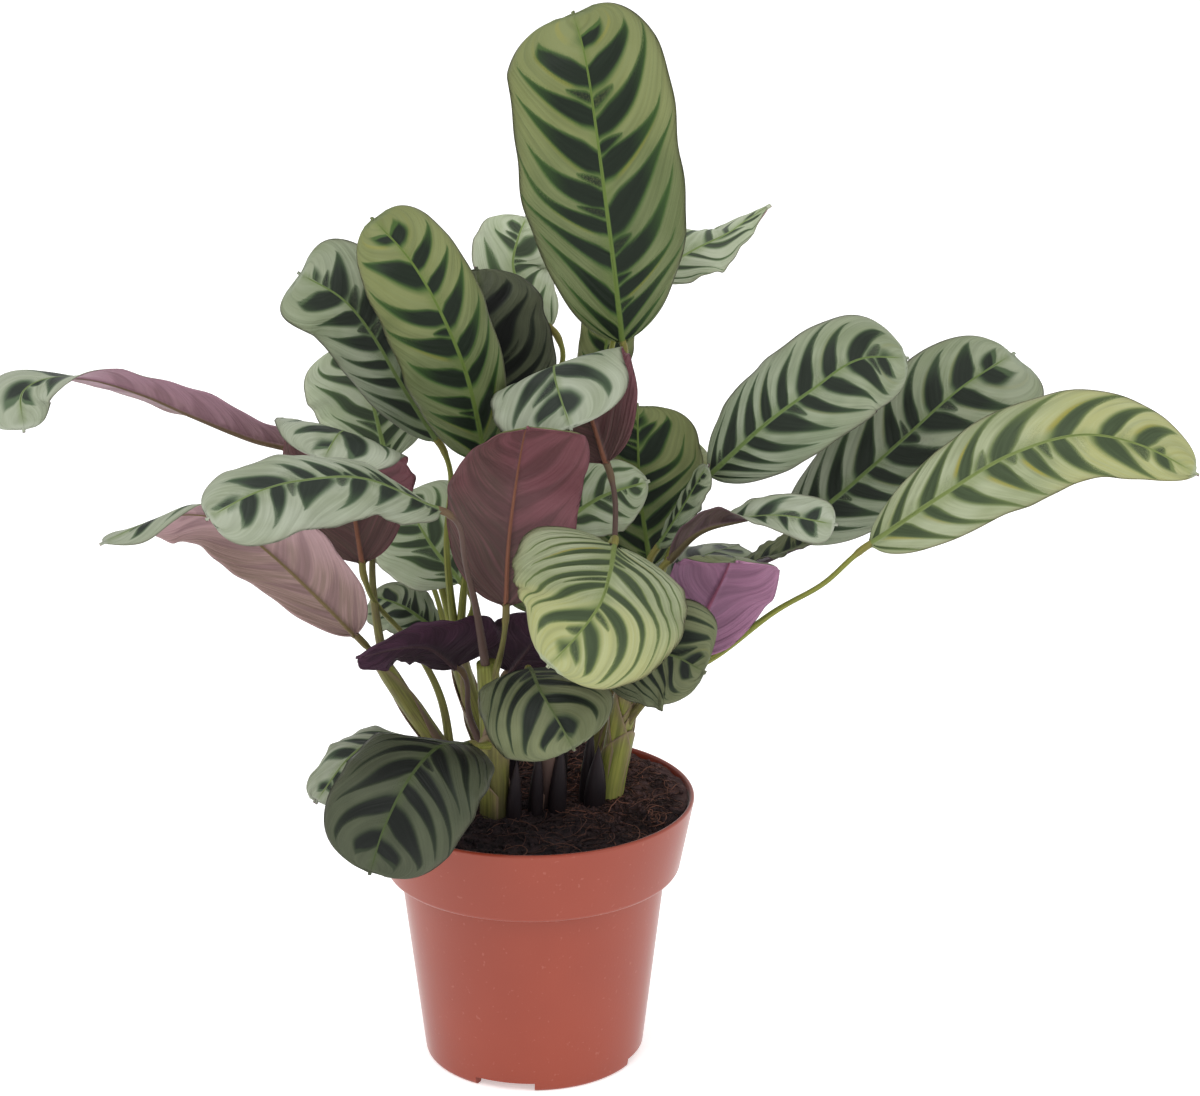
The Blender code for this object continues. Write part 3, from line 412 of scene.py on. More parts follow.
# Each leaf's tones, then its marks: how far they reach to the margin, how round and how bold they
# are, how many stand on a side and how much they crowd towards the tip
LOOKS = dict(
    crown=Look("sage", "plum", 0.97, 0.0, 0.36, 8.4),
    crown_right=Look("pale", "rose", 1.1, 0.0, 0.18, 4.6),
    crown_left=Look("pale", "plum", 0.75, 0.5, 0.27, 4.6),
    pair_right=Look("sage", "plum", 0.9, 0.1, 0.33, 8.0),
    pair_left=Look("cool", "plum", 0.85, 0.2, 0.33, 7.0),
    shaded=Look("shade", "plum", 0.9, 0.1, 0.31, 6.0),
    behind_pair=Look("pale", "plum", 0.8, 0.3, 0.31, 5.0),
    reaching_left=Look("silver", "mauve", 0.85, 0.2, 0.28, 9.0),
    folded_left=Look("silver", "maroon", 0.9, 0.3, 0.39, 6.0),
    left_underside=Look("silver", "rose", 0.85, 0.2, 0.24, 7.0),
    left_front=Look("silver", "maroon", 0.7, 0.6, 0.34, 7.0),
    centre_underside=Look("sage", "maroon", 0.9, 0.1, 0.31, 6.0),
    centre_folded=Look("silver", "maroon", 0.85, 0.4, 0.33, 5.4),
    front_dome=Look("fresh", "plum", 0.95, 0.1, 0.25, 6.0, 0.42),
    centre_right=Look("sage", "plum", 0.9, 0.1, 0.34, 6.0),
    small_centre=Look("pale", "plum", 0.8, 0.3, 0.25, 3.8),
    right_inner=Look("cool", "plum", 0.9, 0.2, 0.33, 8.5),
    right_middle=Look("cool", "plum", 0.9, 0.2, 0.36, 8.5),
    right_outer=Look("fresh", "plum", 1.15, 0.05, 0.27, 8.4),
    rolled_right=Look("silver", "plum", 0.85, 0.3, 0.25, 6.0),
    edge_on_right=Look("cool", "plum", 0.8, 0.3, 0.31, 5.0),
    pink_right=Look("dull", "pink", 0.85, 0.2, 0.31, 5.0),
    narrow_right=Look("dull", "violet", 0.8, 0.3, 0.31, 5.0),
    low_right=Look("dull", "plum", 0.9, 0.1, 0.31, 6.0, 0.2),
    low_centre=Look("dull", "plum", 0.92, 0.1, 0.3, 6.5, 0.35),
    low_front_left=Look("deep", "plum", 0.95, 0.1, 0.32, 7.6, 0.25),
    low_left_behind=Look("silver", "plum", 0.85, 0.2, 0.27, 5.0),
    dark_left=Look("deep", "violet", 0.85, 0.2, 0.31, 5.0),
    dark_centre=Look("deep", "violet", 0.85, 0.2, 0.31, 5.0),
    inner_left=Look("pale", "plum", 0.7, 0.6, 0.31, 4.5),
    small_left=Look("cool", "plum", 0.8, 0.3, 0.31, 4.5),
    behind_crown=Look("sage", "plum", 0.8, 0.3, 0.31, 5.0),
    back_right=Look("sage", "plum", 0.85, 0.2, 0.31, 5.5),
    back_left=Look("cool", "plum", 0.85, 0.2, 0.31, 5.5),
    back_low=Look("sage", "plum", 0.85, 0.2, 0.31, 5.5),
    back_low_right=Look("cool", "plum", 0.85, 0.2, 0.31, 5.0),
)

# How brown each stem is, and how pale its foot is or, below zero, how dark with painted shade
SHOOT_TINTS = dict(
    left=(0.5, -0.35), front=(0.35, -0.8), middle=(1.05, -0.9), right=(0.1, 0.5),
    back_left=(0.45, -0.4), back=(0.6, -0.9), back_right=(0.4, -0.4))

# How brown some leaves' petioles are
PETIOLE_TINTS = dict(
    centre_folded=0.95, centre_underside=0.55, dark_left=1.2, dark_centre=1.2, pink_right=0.6,
    right_outer=0.15, folded_left=0.5, reaching_left=0.6, left_front=0.95, left_underside=0.6)


# Shading

def colour(rgb, factor=1.0):
    """A screen colour as the linear one that a shader takes."""
    linear = []
    for value in rgb:
        share = value / 255
        share = share / 12.92 if share <= 0.04045 else ((share + 0.055) / 1.055) ** 2.4
        linear.append(share * factor)
    return (*linear, 1.0)


class Field:
    """A number or a colour that varies over a surface: one output of a shader node."""

    def __init__(self, surface, socket):
        self.surface = surface
        self.socket = socket

    def __add__(self, other):
        return self.surface.math("ADD", self, other)

    def __sub__(self, other):
        return self.surface.math("SUBTRACT", self, other)

    def __rsub__(self, other):
        return self.surface.math("SUBTRACT", other, self)

    def __mul__(self, other):
        return self.surface.math("MULTIPLY", self, other)

    def __truediv__(self, other):
        return self.surface.math("DIVIDE", self, other)

    def __abs__(self):
        return self.surface.math("ABSOLUTE", self)

    __radd__ = __add__
    __rmul__ = __mul__


class Surface:
    """One procedural material, built node by node."""

    def __init__(self, name, specular):
        self.material = bpy.data.materials.new(name)
        self.material.use_nodes = True
        self.shader = self.material.node_tree.nodes["Principled BSDF"]
        self.shader.inputs["Specular IOR Level"].default_value = specular

    def put(self, socket, value):
        """Links a field to a socket, or sets it to a number or a colour."""
        if isinstance(value, Field):
            self.material.node_tree.links.new(value.socket, socket)
        elif isinstance(value, tuple) and len(value) == 3:
            socket.default_value = colour(value)
        else:
            socket.default_value = value

    def set(self, **inputs):
        for name, value in inputs.items():
            self.put(self.shader.inputs[name.replace("_", " ")], value)

    def node(self, kind, inputs, output=0, **settings):
        """Adds a node with its settings and its inputs, by name or number, and reads an output."""
        made = self.material.node_tree.nodes.new("ShaderNode" + kind)
        for name, value in settings.items():
            setattr(made, name, value)
        for key, value in inputs.items():
            self.put(made.inputs[key], value)
        return Field(self, made.outputs[output])

    def math(self, operation, *values):
        return self.node("Math", dict(enumerate(values)), operation=operation)

    def smooth(self, value, low, high):
        """Rises smoothly from 0 to 1 as value goes from low to high, or falls if low is higher."""
        inputs = {"Value": value, "From Min": low, "From Max": high}
        return self.node("MapRange", inputs, "Result", interpolation_type="SMOOTHSTEP")

    def mix(self, share, first, second):
        """Goes from the first colour to the second as share goes from 0 to 1."""
        return self.node("Mix", {"Factor": share, 6: first, 7: second}, 2, data_type="RGBA")

    def layers(self, body, *layers):
        """Lays further colours over a body, one after the other, each by its share."""
        for share, tint in layers:
            body = self.mix(share, body, tint)
        return body

    def vector(self, *values):
        return self.node("CombineXYZ", dict(enumerate(values)))

    def parts(self, field):
        first = self.node("SeparateXYZ", {0: field})
        return [Field(self, socket) for socket in first.socket.node.outputs]

    def attribute(self, name):
        return self.parts(self.node("Attribute", {}, "Vector", attribute_name=name))

    def random(self, *values):
        """Three numbers from 0 to 1, the same wherever the values are the same."""
        inputs = {"Vector": self.vector(*values)}
        return self.parts(self.node("TexWhiteNoise", inputs, "Color", noise_dimensions="3D"))

    def noise(self, vector, scale=1.0, detail=2.0, roughness=0.5):
        return self.node("TexNoise", {"Vector": vector, "Scale": scale, "Detail": detail,
                                      "Roughness": roughness})

    def place(self):
        """The point's own place in the object, in metres."""
        return self.node("TexCoord", {}, "Object")

    def bump(self, height, distance):
        """Raises the surface by up to a distance in millimetres."""
        inputs = {"Strength": 1.0, "Distance": distance * MM, "Height": height}
        self.set(Normal=self.node("Bump", inputs))


def mark_row(s, course, far, seed, row, reach, boldness, roundness, tail):
    """How deep a point lies inside one row of marks, in vein gaps: crisply, and with a soft lower
    edge. It comes with the share of the mark's reach and the row's draws. A mark hugs its lower
    vein, thins from above into a tail and ends at its reach."""
    cell = s.math("FLOOR", course)
    offset = s.math("FRACT", course) - 0.5
    draws = s.random(cell, seed, row)
    share = far / (reach * (0.82 + draws[0] * 0.24))
    half = (boldness * (0.8 + draws[1] * 0.35)) * (0.74 + s.smooth(share, 0.0, 0.22) * 0.26)
    body = 1.0 - s.math("POWER", share, 2.0)
    body = s.math("MAXIMUM", body, s.smooth(share, 1.3, 0.6) * tail)
    low = half * (share * share * roundness - 1.0)
    above = offset - low
    below = low + half * body * 2.0 - offset
    ended = s.smooth(share, 0.97, 1.15) * 0.35
    crisp = s.math("MINIMUM", above, below) - ended
    soft = s.math("MINIMUM", above, below * 2.4) - ended
    return crisp, soft, above, share, draws


def feather_marks(s, across, along, vein, spine, seed, reach, roundness, boldness):
    """The crisp and the soft depth inside the dark feather marks, a row of long ones with short
    ones between, the share of their tails, and the share of warm yellow below some of them."""
    far = abs(across)
    left = s.math("LESS_THAN", across, 0.0)
    course = vein + left * LEFT_COURSE
    crisp, soft, above, share, draws = mark_row(s, course, far, seed, 1.0, reach, boldness,
                                                roundness, LONG_TAIL)
    warm = s.smooth(above, -0.2, -0.06) * s.smooth(above, 0.03, -0.03)
    warm = warm * s.smooth(draws[2], 0.6, 0.85) * s.smooth(far, 0.1, 0.3) * s.smooth(far, 0.8, 0.5)
    short_reach = s.random(s.math("FLOOR", course + 0.5), seed, 5.0)[0] * 0.24 + 0.2
    short_crisp, short_soft, _, _, draws = mark_row(s, course + 0.5, far, seed, 2.0, short_reach,
                                                    SHORT_BOLDNESS, SHORT_ROUNDNESS, 0.0)
    missing = s.math("LESS_THAN", draws[2], SHORT_MISSING)
    warm = warm * s.smooth(short_crisp - missing, 0.0, -0.08)
    crisp = s.math("MAXIMUM", crisp, short_crisp - missing)
    soft = s.math("MAXIMUM", soft, short_soft - missing)
    bare = s.smooth(along, 0.88, 0.99) * 0.5
    crisp = s.math("MINIMUM", crisp, (spine - 0.9) * 0.3) - bare
    soft = s.math("MINIMUM", soft, (spine - 0.9) * 0.3) - bare
    return crisp, soft, s.smooth(share, 0.45, 1.0), warm


class BladeFields:
    """What both sides of a blade's surface read: the place on the blade, the marks and some
    noises."""

    def __init__(self, s):
        self.across, self.along, self.vein = s.attribute("place")
        self.spine, self.rim, boldness = s.attribute("edges")
        seed, reach, roundness = s.attribute("marks")
        self.far = abs(self.across)
        self.streaks = s.noise(s.vector(self.vein * 11.0, self.far * 1.6, seed), detail=3.0)
        self.broad = s.noise(s.vector(self.across * 1.4, self.along * 3.2, seed), detail=2.0)
        frayed = self.vein + (self.streaks - 0.5) * 0.05
        self.crisp, self.soft, self.tail, self.warm = feather_marks(
            s, self.across, self.along, frayed, self.spine, seed, reach, roundness, boldness)
        self.pleats = s.noise(s.vector(self.vein * 4.0, self.far * 0.7, seed), detail=1.0)
        self.ribbed = s.smooth(self.spine, 1.0, 0.5) * s.smooth(self.along, 0.985, 0.93)


def upper_surface(name, tone):
    """The leaf's upper side: a pale ground with blackish-green feather marks, painted shade in
    the hollows of its pleats and painted sheen streaks inside the marks.
    """
    s = Surface(name, specular=0.12)
    f = BladeFields(s)
    yellow = s.smooth(f.along + (f.broad - 0.5) * 0.6, 0.35, 0.75) * (tone.warm * 0.75)
    ground = s.layers(
        s.mix(s.smooth(f.broad, 0.3, 0.7), tone.ground, tone.light),
        (yellow, WARM_GROUND),
        (s.smooth(f.streaks, 0.35, 0.75) * 0.35, colour(tone.light, 1.25)),
        # Painted shade: darker in the hollows of the pleats
        (s.smooth(f.pleats, 0.55, 0.3) * 0.3, colour(tone.ground, 0.7)),
        (s.smooth(f.spine, 7.0, 1.0) * 0.35, tone.midrib),
        (s.smooth(f.far, 0.84, 1.0) * 0.3, tone.margin),
        (s.smooth(f.soft, -0.15, 0.03) * 0.9, tone.edge),
        (f.warm * tone.warm, WARM_EDGE))
    # Painted sheen: lighter streaks inside the marks
    inside = s.mix(s.smooth(f.streaks, 0.3, 0.8) * 0.5, tone.mark, colour(tone.mark, 1.6))
    inside = s.mix(f.tail * 0.75, inside, tone.edge)
    body = s.layers(
        ground,
        (s.smooth(f.crisp, -0.04, 0.09), inside),
        (f.ribbed, tone.midrib),
        (s.smooth(f.rim, 0.7, 0.25) * 0.5, colour(tone.margin, 0.6)),
        (s.smooth(f.along, 0.98, 0.995), tone.light))
    s.set(Base_Color=body, Roughness=0.4 + f.streaks * 0.14)
    s.bump(f.streaks * 0.4 + f.pleats - s.smooth(f.crisp, -0.05, 0.1) * 0.3, 0.5)
    return s.material


def under_surface(name, under):
    """The leaf's underside: purple, lighter towards the tip and deeper to one side of its base,
    partly its own colour and partly painted light and shade, with the marks showing through
    faintly."""
    s = Surface(name, specular=0.2)
    f = BladeFields(s)
    # Partly painted light and shade: lit runs from the deep colour to the ground colour
    lit = s.smooth(f.along - f.across * 0.35 + (f.broad - 0.5) * 0.8, 0.1, 0.8)
    pale = colour(under.ground, 1.5)
    body = s.layers(
        s.mix(lit, under.deep, under.ground),
        (s.smooth(f.streaks, 0.35, 0.75) * 0.4, colour(under.ground, 1.4)),
        (s.smooth(f.crisp, -0.1, 0.08) * 0.5, under.mark),
        (f.ribbed, under.midrib),
        (s.smooth(f.rim, 0.8, 0.25) * 0.4, pale),
        (s.smooth(f.along, 0.98, 0.995), pale))
    s.set(Base_Color=body, Roughness=0.44 + f.streaks * 0.14)
    s.bump(f.streaks * 0.5 + f.pleats, 0.5)
    return s.material


def stem_surface():
    """Stems and petioles: yellow-green, brown to blackish where tinted, redder at the pulvinus,
    with pale papery margins on the sheaths, and darker towards the soil at some feet, which
    is painted shade."""
    s = Surface("stem_skin", specular=0.16)
    along, around, tint = s.attribute("skin")
    joint, margin, pale = s.attribute("zone")
    turn = around * (2 * math.pi)
    ring = (s.math("COSINE", turn), s.math("SINE", turn))
    fibres = s.noise(s.vector(ring[0] * 6.0, ring[1] * 6.0, along * 0.05), detail=3.0)
    blotches = s.noise(s.vector(ring[0] * 1.2, ring[1] * 1.2, along * 0.12), detail=2.0)
    shade = tint + (blotches - 0.5) * 0.5
    # Painted shade: below zero, pale darkens stem, sheath and spear feet to blackish brown
    peat = s.smooth(pale + (blotches - 0.5) * 0.3, 0.0, -0.9)
    body = s.layers(
        s.mix(s.smooth(fibres, 0.3, 0.7), (96, 104, 44), (138, 140, 66)),
        (s.smooth(pale, 0.0, 1.0), (158, 160, 90)),
        (s.smooth(shade, 0.2, 0.95), (90, 72, 66)),
        (s.smooth(shade, 1.1, 1.7), (34, 28, 33)),
        (joint * 0.4, (112, 94, 58)),
        (margin * 0.8, (126, 104, 92)),
        (peat * 0.85, (26, 21, 23)))
    s.set(Base_Color=body, Roughness=0.38 + blotches * 0.16)
    s.bump(fibres, 0.15)
    return s.material


def pot_surface():
    """Moulded terracotta-coloured plastic with a satin skin and faint dust."""
    s = Surface("terracotta_plastic", specular=0.5)
    place = s.place()
    broad = s.noise(place, scale=16.0, detail=3.0)
    grain = s.noise(place, scale=1500.0, detail=2.0)
    specks = s.noise(place, scale=520.0, detail=1.0)
    body = s.mix(s.smooth(broad, 0.3, 0.7), (134, 48, 24), (141, 54, 30))
    body = s.mix(s.smooth(specks, 0.68, 0.78) * 0.2, body, (180, 118, 102))
    s.shader.inputs["Sheen Weight"].default_value = 0.6
    s.shader.inputs["Sheen Roughness"].default_value = 0.26
    s.set(Base_Color=body, Roughness=0.36 + broad * 0.14)
    s.bump(grain * 0.5 + broad * 0.8, 0.05)
    return s.material


def soil_surface():
    """Dark peat, browner where it is heaped up at the back right."""
    s = Surface("peat", specular=0.2)
    place = s.place()
    lumps = s.noise(place, scale=260.0, detail=4.0, roughness=0.65)
    patches = s.noise(place, scale=45.0, detail=2.0)
    x, y, _ = s.parts(place)
    heaped = s.smooth(x * 0.8 + y * 0.6, -0.01, 0.035)
    body = s.mix(s.smooth(lumps, 0.35, 0.7), (21, 17, 20), (52, 40, 41))
    brown = s.smooth(patches, 0.65, 0.35) * heaped * 0.8
    body = s.mix(brown, body, s.mix(lumps, (56, 42, 45), (112, 84, 80)))
    s.set(Base_Color=body, Roughness=0.95)
    s.bump(lumps, 1.2)
    return s.material


def coir_surface():
    """Coir fibres: reddish brown, some bleached."""
    s = Surface("coir", specular=0.25)
    _, _, pale = s.attribute("skin")
    body = s.mix(pale, (38, 27, 27), (134, 92, 76))
    s.set(Base_Color=body, Roughness=0.85)
    s.bump(s.noise(s.place(), scale=2500.0, detail=2.0), 0.1)
    return s.material


# Curves

class Route:
    """A smooth curve through points, read by the share of its length."""

    steps = 16

    def __init__(self, points):
        points = [Vector(p) for p in points]
        spans = len(points) - 1
        slopes = []
        for k in range(len(points)):
            before = points[max(k - 1, 0)]
            after = points[min(k + 1, spans)]
            slopes.append((after - before).normalized())
        self.track = [points[0]]
        for k in range(spans):
            reach = (points[k + 1] - points[k]).length
            for step in range(1, self.steps + 1):
                self.track.append(hermite(points[k], slopes[k] * reach, points[k + 1],
                                          slopes[k + 1] * reach, step / self.steps))
        self.distances = [0.0]
        for a, b in zip(self.track, self.track[1:]):
            self.distances.append(self.distances[-1] + (b - a).length)
        self.length = self.distances[-1]

    def at(self, share):
        wanted = min(max(share, 0.0), 1.0) * self.length
        k = 1
        while k < len(self.distances) - 1 and self.distances[k] < wanted:
            k += 1
        start = self.distances[k - 1]
        part = (wanted - start) / max(self.distances[k] - start, 1e-9)
        return self.track[k - 1].lerp(self.track[k], part)

    def heading(self, share):
        step = 0.02
        return (self.at(share + step) - self.at(share - step)).normalized()


def hermite(a, slope_a, b, slope_b, t):
    square = t * t
    cube = square * t
    return (a * (2 * cube - 3 * square + 1) + slope_a * (cube - 2 * square + t)
            + b * (3 * square - 2 * cube) + slope_b * (cube - square))


def blend(values, share):
    """Reads a value or a vector from even steps along a leaf."""
    place = share * (len(values) - 1)
    k = min(int(place), len(values) - 2)
    part = place - k
    return values[k] * (1 - part) + values[k + 1] * part


# Meshes

def new_object(name, data):
    thing = bpy.data.objects.new(name, data)
    bpy.context.scene.collection.objects.link(thing)
    return thing


def add_piece(name, points, faces, materials, replaces, attributes=None, face_slots=None):
    """A smooth-shaded piece from points in millimetres that stands for its solid."""
    mesh = bpy.data.meshes.new(name)
    mesh.from_pydata(np.asarray(points, float) * MM, [], faces)
    for material in materials:
        mesh.materials.append(material)
    if face_slots is not None:
        mesh.polygons.foreach_set("material_index", np.asarray(face_slots, np.int32))
    for key, values in (attributes or {}).items():
        layer = mesh.attributes.new(key, "FLOAT_VECTOR", "POINT")
        layer.data.foreach_set("vector", np.asarray(values, np.float32).ravel())
    mesh.shade_smooth()
    thing = new_object(name, mesh)
    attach(thing, "root")
    if replaces:
        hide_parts(*replaces)
    return thing


def quads(grid, closed=False):
    """The faces between the points of a grid of point numbers, closed round its rows if asked."""
    if closed:
        grid = np.column_stack((grid, grid[:, 0]))
    corners = (grid[:-1, :-1], grid[:-1, 1:], grid[1:, 1:], grid[1:, :-1])
    return np.stack(corners, -1).reshape(-1, 4).tolist()


def tube_faces(rings, sides):
    """The faces of a closed tube whose points come ring by ring."""
    grid = np.arange(rings * sides).reshape(rings, sides)
    return [grid[0, ::-1].tolist()] + quads(grid, closed=True) + [grid[-1].tolist()]


def outline(leaf, share, half):
    """How wide a half of the blade is at a share of its length, from 0 to 1."""
    widest = leaf.widest[half]
    if share < widest:
        return math.sqrt(max(1 - (1 - share / widest) ** 2, 0))
    blunt = leaf.blunt[half]
    return max(1 - ((share - widest) / (1 - widest)) ** blunt, 0) ** max(0.4, 1.6 - 0.6 * blunt)


def pick(right, pair):
    """The second of a pair on the blade's right half, and the first on its left."""
    return np.where(right, pair[1], pair[0])


def blade_row(leaf, route, share, past, wides, seed):
    """One row of the blade's sheet, past its end if past is above zero, with wides for the width
    of each half: its points, and each one's across, distance out and distance to the margin."""
    heading = route.heading(share)
    facing = blend([Vector(f).normalized() for f in leaf.faces], share)
    facing = (facing - heading * facing.dot(heading)).normalized()
    side = np.array(heading.cross(facing))
    centre = np.array(route.at(share) + heading * past)
    facing = np.array(facing)
    outs = []
    for wide in wides:
        inner = min(rib_width(share), 0.5 * wide)
        steps = [inner * k / (INNER_COLUMNS - 1) for k in range(INNER_COLUMNS)]
        steps += [inner + (wide - inner) * k / OUTER_COLUMNS for k in range(1, OUTER_COLUMNS + 1)]
        outs.append(steps)
    out = np.array([-d for d in reversed(outs[0][1:])] + outs[1])
    right = out > 0
    wide = pick(right, wides)
    across = out / wide
    reach = np.abs(across)
    fold = math.radians(blend(leaf.fold, share))
    dome = math.radians(blend(leaf.dome, share))
    dome = dome if abs(dome) > FLAT_DOME else FLAT_DOME
    end = fold + dome * reach
    sideways = (np.sin(end) - math.sin(fold)) / dome
    drop = (math.cos(fold) - np.cos(end)) / dome
    shift = pick(right, (0.0, RIPPLE_SHIFT))
    swell = math.sin(math.pi * share)
    lift = leaf.ripple * np.sin(share * RIPPLE_TURN + leaf.width + shift) * reach ** 3 * swell
    fine = np.sin(share * FINE_RIPPLE_TURN + seed + shift * 3.0)
    lift = lift + FINE_RIPPLE * fine * reach ** 6 * swell
    fullness = pick(right, [outline(leaf, share, half) for half in (0, 1)])
    crest = pick(right, leaf.crest)
    lobe = pick(right, leaf.lobe)
    drawn = (crest * share ** 6 - lobe * (1 - share) ** 4) * fullness * reach ** 2
    unevenness = (0.025 * np.sin(share * 11.0 + seed + shift)
                  + 0.012 * np.sin(share * 31.0 + seed * 2))
    scale = wide * (1 + unevenness * swell)
    points = (centre + np.outer(drawn, np.array(heading))
              + np.outer(np.sign(across) * scale * sideways, side)
              + np.outer(lift - scale * drop, facing))
    return points, across, np.abs(out), scale * (1 - reach)


def rib_width(share):
    """Half the midrib's width in millimetres."""
    return 0.85 * max(1 - share, 0) ** 1.2 + 0.3


def both_sides(upper, lower):
    """All points of the upper side, row by row, then the lower side's between its margins."""
    return np.concatenate([upper.reshape(-1, 3), lower[:, 1:-1].reshape(-1, 3)])


def add_blade(name, leaf, look, seed):
    """The fine leaf: two sheets that meet at thin margins, with a round rib below."""
    route = Route(leaf.midrib)
    steps = [k / (BLADE_ROWS - 1) for k in range(BLADE_ROWS)]
    shares = [u - ROW_CROWDING * math.sin(2 * math.pi * u) / (2 * math.pi) for u in steps]
    rows = []
    for share in shares:
        least = BLADE_BASE_HALF_WIDTH * (1 - share) + BLADE_TIP_HALF_WIDTH * share
        wides = [max(leaf.width / 2 * outline(leaf, share, half), least) * leaf.halves[half]
                 for half in (0, 1)]
        rows.append((share, 0.0, wides))
    rows += [(1.0, past, (wide, wide)) for past, wide in TIP_ROWS]
    made = [blade_row(leaf, route, *row, seed) for row in rows]
    sheet, across, out, rim = (np.array(part) for part in zip(*made))
    count, columns = across.shape
    along = np.array([[share + past / route.length] * columns for share, past, _ in rows])
    ribs = np.array([[rib_width(share)] * columns for share, _, _ in rows])
    far = np.abs(across)
    lean = leaf.width / 2 / route.length
    course = along - lean * (VEIN_LEAN * far + VEIN_SWEEP * far ** VEIN_SWEEP_POWER)
    course = look.marks * (course + look.crowding * course * (1 - course))
    drift = 0.25 * np.sin(along * 7.0 + seed) + 0.12 * np.sin(along * 17.0 + seed * 2)
    vein = course + drift * np.where(across < 0, 1.0, -1.0)
    normals = sheet_normals(sheet)
    wander = np.array([[noise.noise(Vector((a * 1.7, t * 3.5, seed * 0.37)))
                        for a, t in zip(*pair)] for pair in zip(across, along)])
    quilting = np.cos(2 * np.pi * course) * far * (1 - far ** 3)
    sheet = sheet + normals * (WANDER * wander * far + QUILTING * quilting)[..., None]
    normals = sheet_normals(sheet)
    round_rib = np.sqrt(np.clip(1 - (out / ribs) ** 2, 0, 1))
    neck = np.exp(-along * route.length / NECK_LENGTH)
    above = BLADE_HALF_THICKNESS + round_rib * (NECK_RISE * neck + RIB_RISE)
    below = BLADE_HALF_THICKNESS + round_rib * (RIB_DROP * (1 - along) + RIB_DROP_TIP).clip(0.1)
    upper = sheet + normals * above[..., None]
    upper[:, [0, -1]] = sheet[:, [0, -1]]
    lower = sheet - normals * below[..., None]
    top = np.arange(count * columns).reshape(count, columns)
    low = top.copy()
    low[:, 1:-1] = top.size + np.arange(count * (columns - 2)).reshape(count, -1)
    faces = quads(top)
    face_slots = [0] * len(faces)
    faces += quads(low[:, ::-1])
    for row, way in ((0, 1), (-1, -1)):
        ring = np.concatenate((low[row], top[row, -2:0:-1]))
        faces.append(ring[::way].tolist())
    face_slots += [1] * (len(faces) - len(face_slots))
    fields = {"place": np.stack([across, along, vein], -1),
              "edges": np.stack([out / ribs, rim, np.full_like(rim, look.boldness)], -1),
              "marks": np.broadcast_to((seed, look.reach, look.roundness), sheet.shape)}
    attributes = {key: both_sides(values, values) for key, values in fields.items()}
    materials = [upper_materials[look.tone], under_materials[look.under]]
    add_piece(name + "_fine", both_sides(upper, lower), faces, materials, [name],
              attributes, face_slots)


def sheet_normals(sheet):
    """The sheet's normals, towards its upper side."""
    across = np.gradient(sheet, axis=1)
    along = np.gradient(sheet, axis=0)
    normals = np.cross(across, along)
    return normals / np.linalg.norm(normals, axis=-1, keepdims=True)


class Growth:
    """A grown piece, built up part by part from corners: a point, its skin and its zone. The skin
    is the millimetres along, the share of a turn around and the tint, and the zone says how much
    the point is pulvinus, papery margin or pale, or below zero darkened with painted shade."""

    def __init__(self):
        self.corners = []
        self.faces = []

    def add(self, corners, faces):
        start = len(self.corners)
        self.corners += corners
        self.faces += [[start + k for k in face] for face in faces]

    def make(self, name, material, replaces):
        points, skin, zone = zip(*self.corners)
        add_piece(name, points, self.faces, [material], replaces,
                  {"skin": skin, "zone": zone})


def frame_at(route, share):
    """The point at a share of an upright route, with two directions square to it."""
    heading = route.heading(share)
    guide = Vector((1, 0, 0))
    guide = (guide - heading * guide.dot(heading)).normalized()
    return route.at(share), guide, heading.cross(guide)


def add_tube(growth, route, radius_at, sides, gap, tint, joint_from=2.0, pale_or_shaded_at=None):
    """A closed tube along a route. Its radius may change along and around it."""
    rings = max(4, round(route.length / gap)) + 1
    corners = []
    guide = Vector((1, 0, 0))
    for ring in range(rings):
        share = ring / (rings - 1)
        heading = route.heading(share)
        guide = (guide - heading * guide.dot(heading)).normalized()
        other = heading.cross(guide)
        joint = min(max((share - joint_from) / max(1 - joint_from, 1e-6) * 4, 0.0), 1.0)
        for k in range(sides):
            angle = 2 * math.pi * k / sides
            arm = guide * math.cos(angle) + other * math.sin(angle)
            corners.append((route.at(share) + arm * radius_at(share, angle),
                            (share * route.length, k / sides, tint),
                            (joint, 0.0, pale_or_shaded_at(share) if pale_or_shaded_at else 0.0)))
    growth.add(corners, tube_faces(rings, sides))


def add_sheath(growth, route, radius_at, foot, top, turn, tint, foot_pale_or_shaded):
    """A leaf's sheath: a thin sleeve that wraps the stem, open on one side, whose edges slant up
    to a point where the petiole goes on. Each row of points runs along its outer side and back
    along its inner one."""
    corners = []
    sides = 2 * (SHEATH_COLUMNS + 1)
    for row in range(SHEATH_ROWS + 1):
        height = row / SHEATH_ROWS
        for side in range(sides):
            inside = side > SHEATH_COLUMNS
            place = (sides - 1 - side if inside else side) / SHEATH_COLUMNS
            edge = abs(2 * place - 1)
            share = foot + (top - (top - foot) * SHEATH_SLANT * edge ** 1.5 - foot) * height
            centre, guide, other = frame_at(route, share)
            angle = turn + SHEATH_WRAP * (place - 0.5)
            arm = guide * math.cos(angle) + other * math.sin(angle)
            out = radius_at(share) + SHEATH_LAP * place + SHEATH_FLARE * height ** 4
            # Below zero, the foot's paleness darkens the sheath's foot as painted shade
            corners.append((centre + arm * (out - SHEATH_THICKNESS * inside),
                            (share * route.length, angle / (2 * math.pi), tint),
                            (0.0, max(edge ** 8, height ** 10), foot_pale_or_shaded * (1 - height))))
    faces = quads(np.arange(len(corners)).reshape(-1, sides), closed=True)
    last = len(corners) - sides
    for k in range(SHEATH_COLUMNS):
        strip = (k, sides - 1 - k, sides - 2 - k, k + 1)
        faces.append(strip)
        faces.append([last + corner for corner in reversed(strip)])
    growth.add(corners, faces)


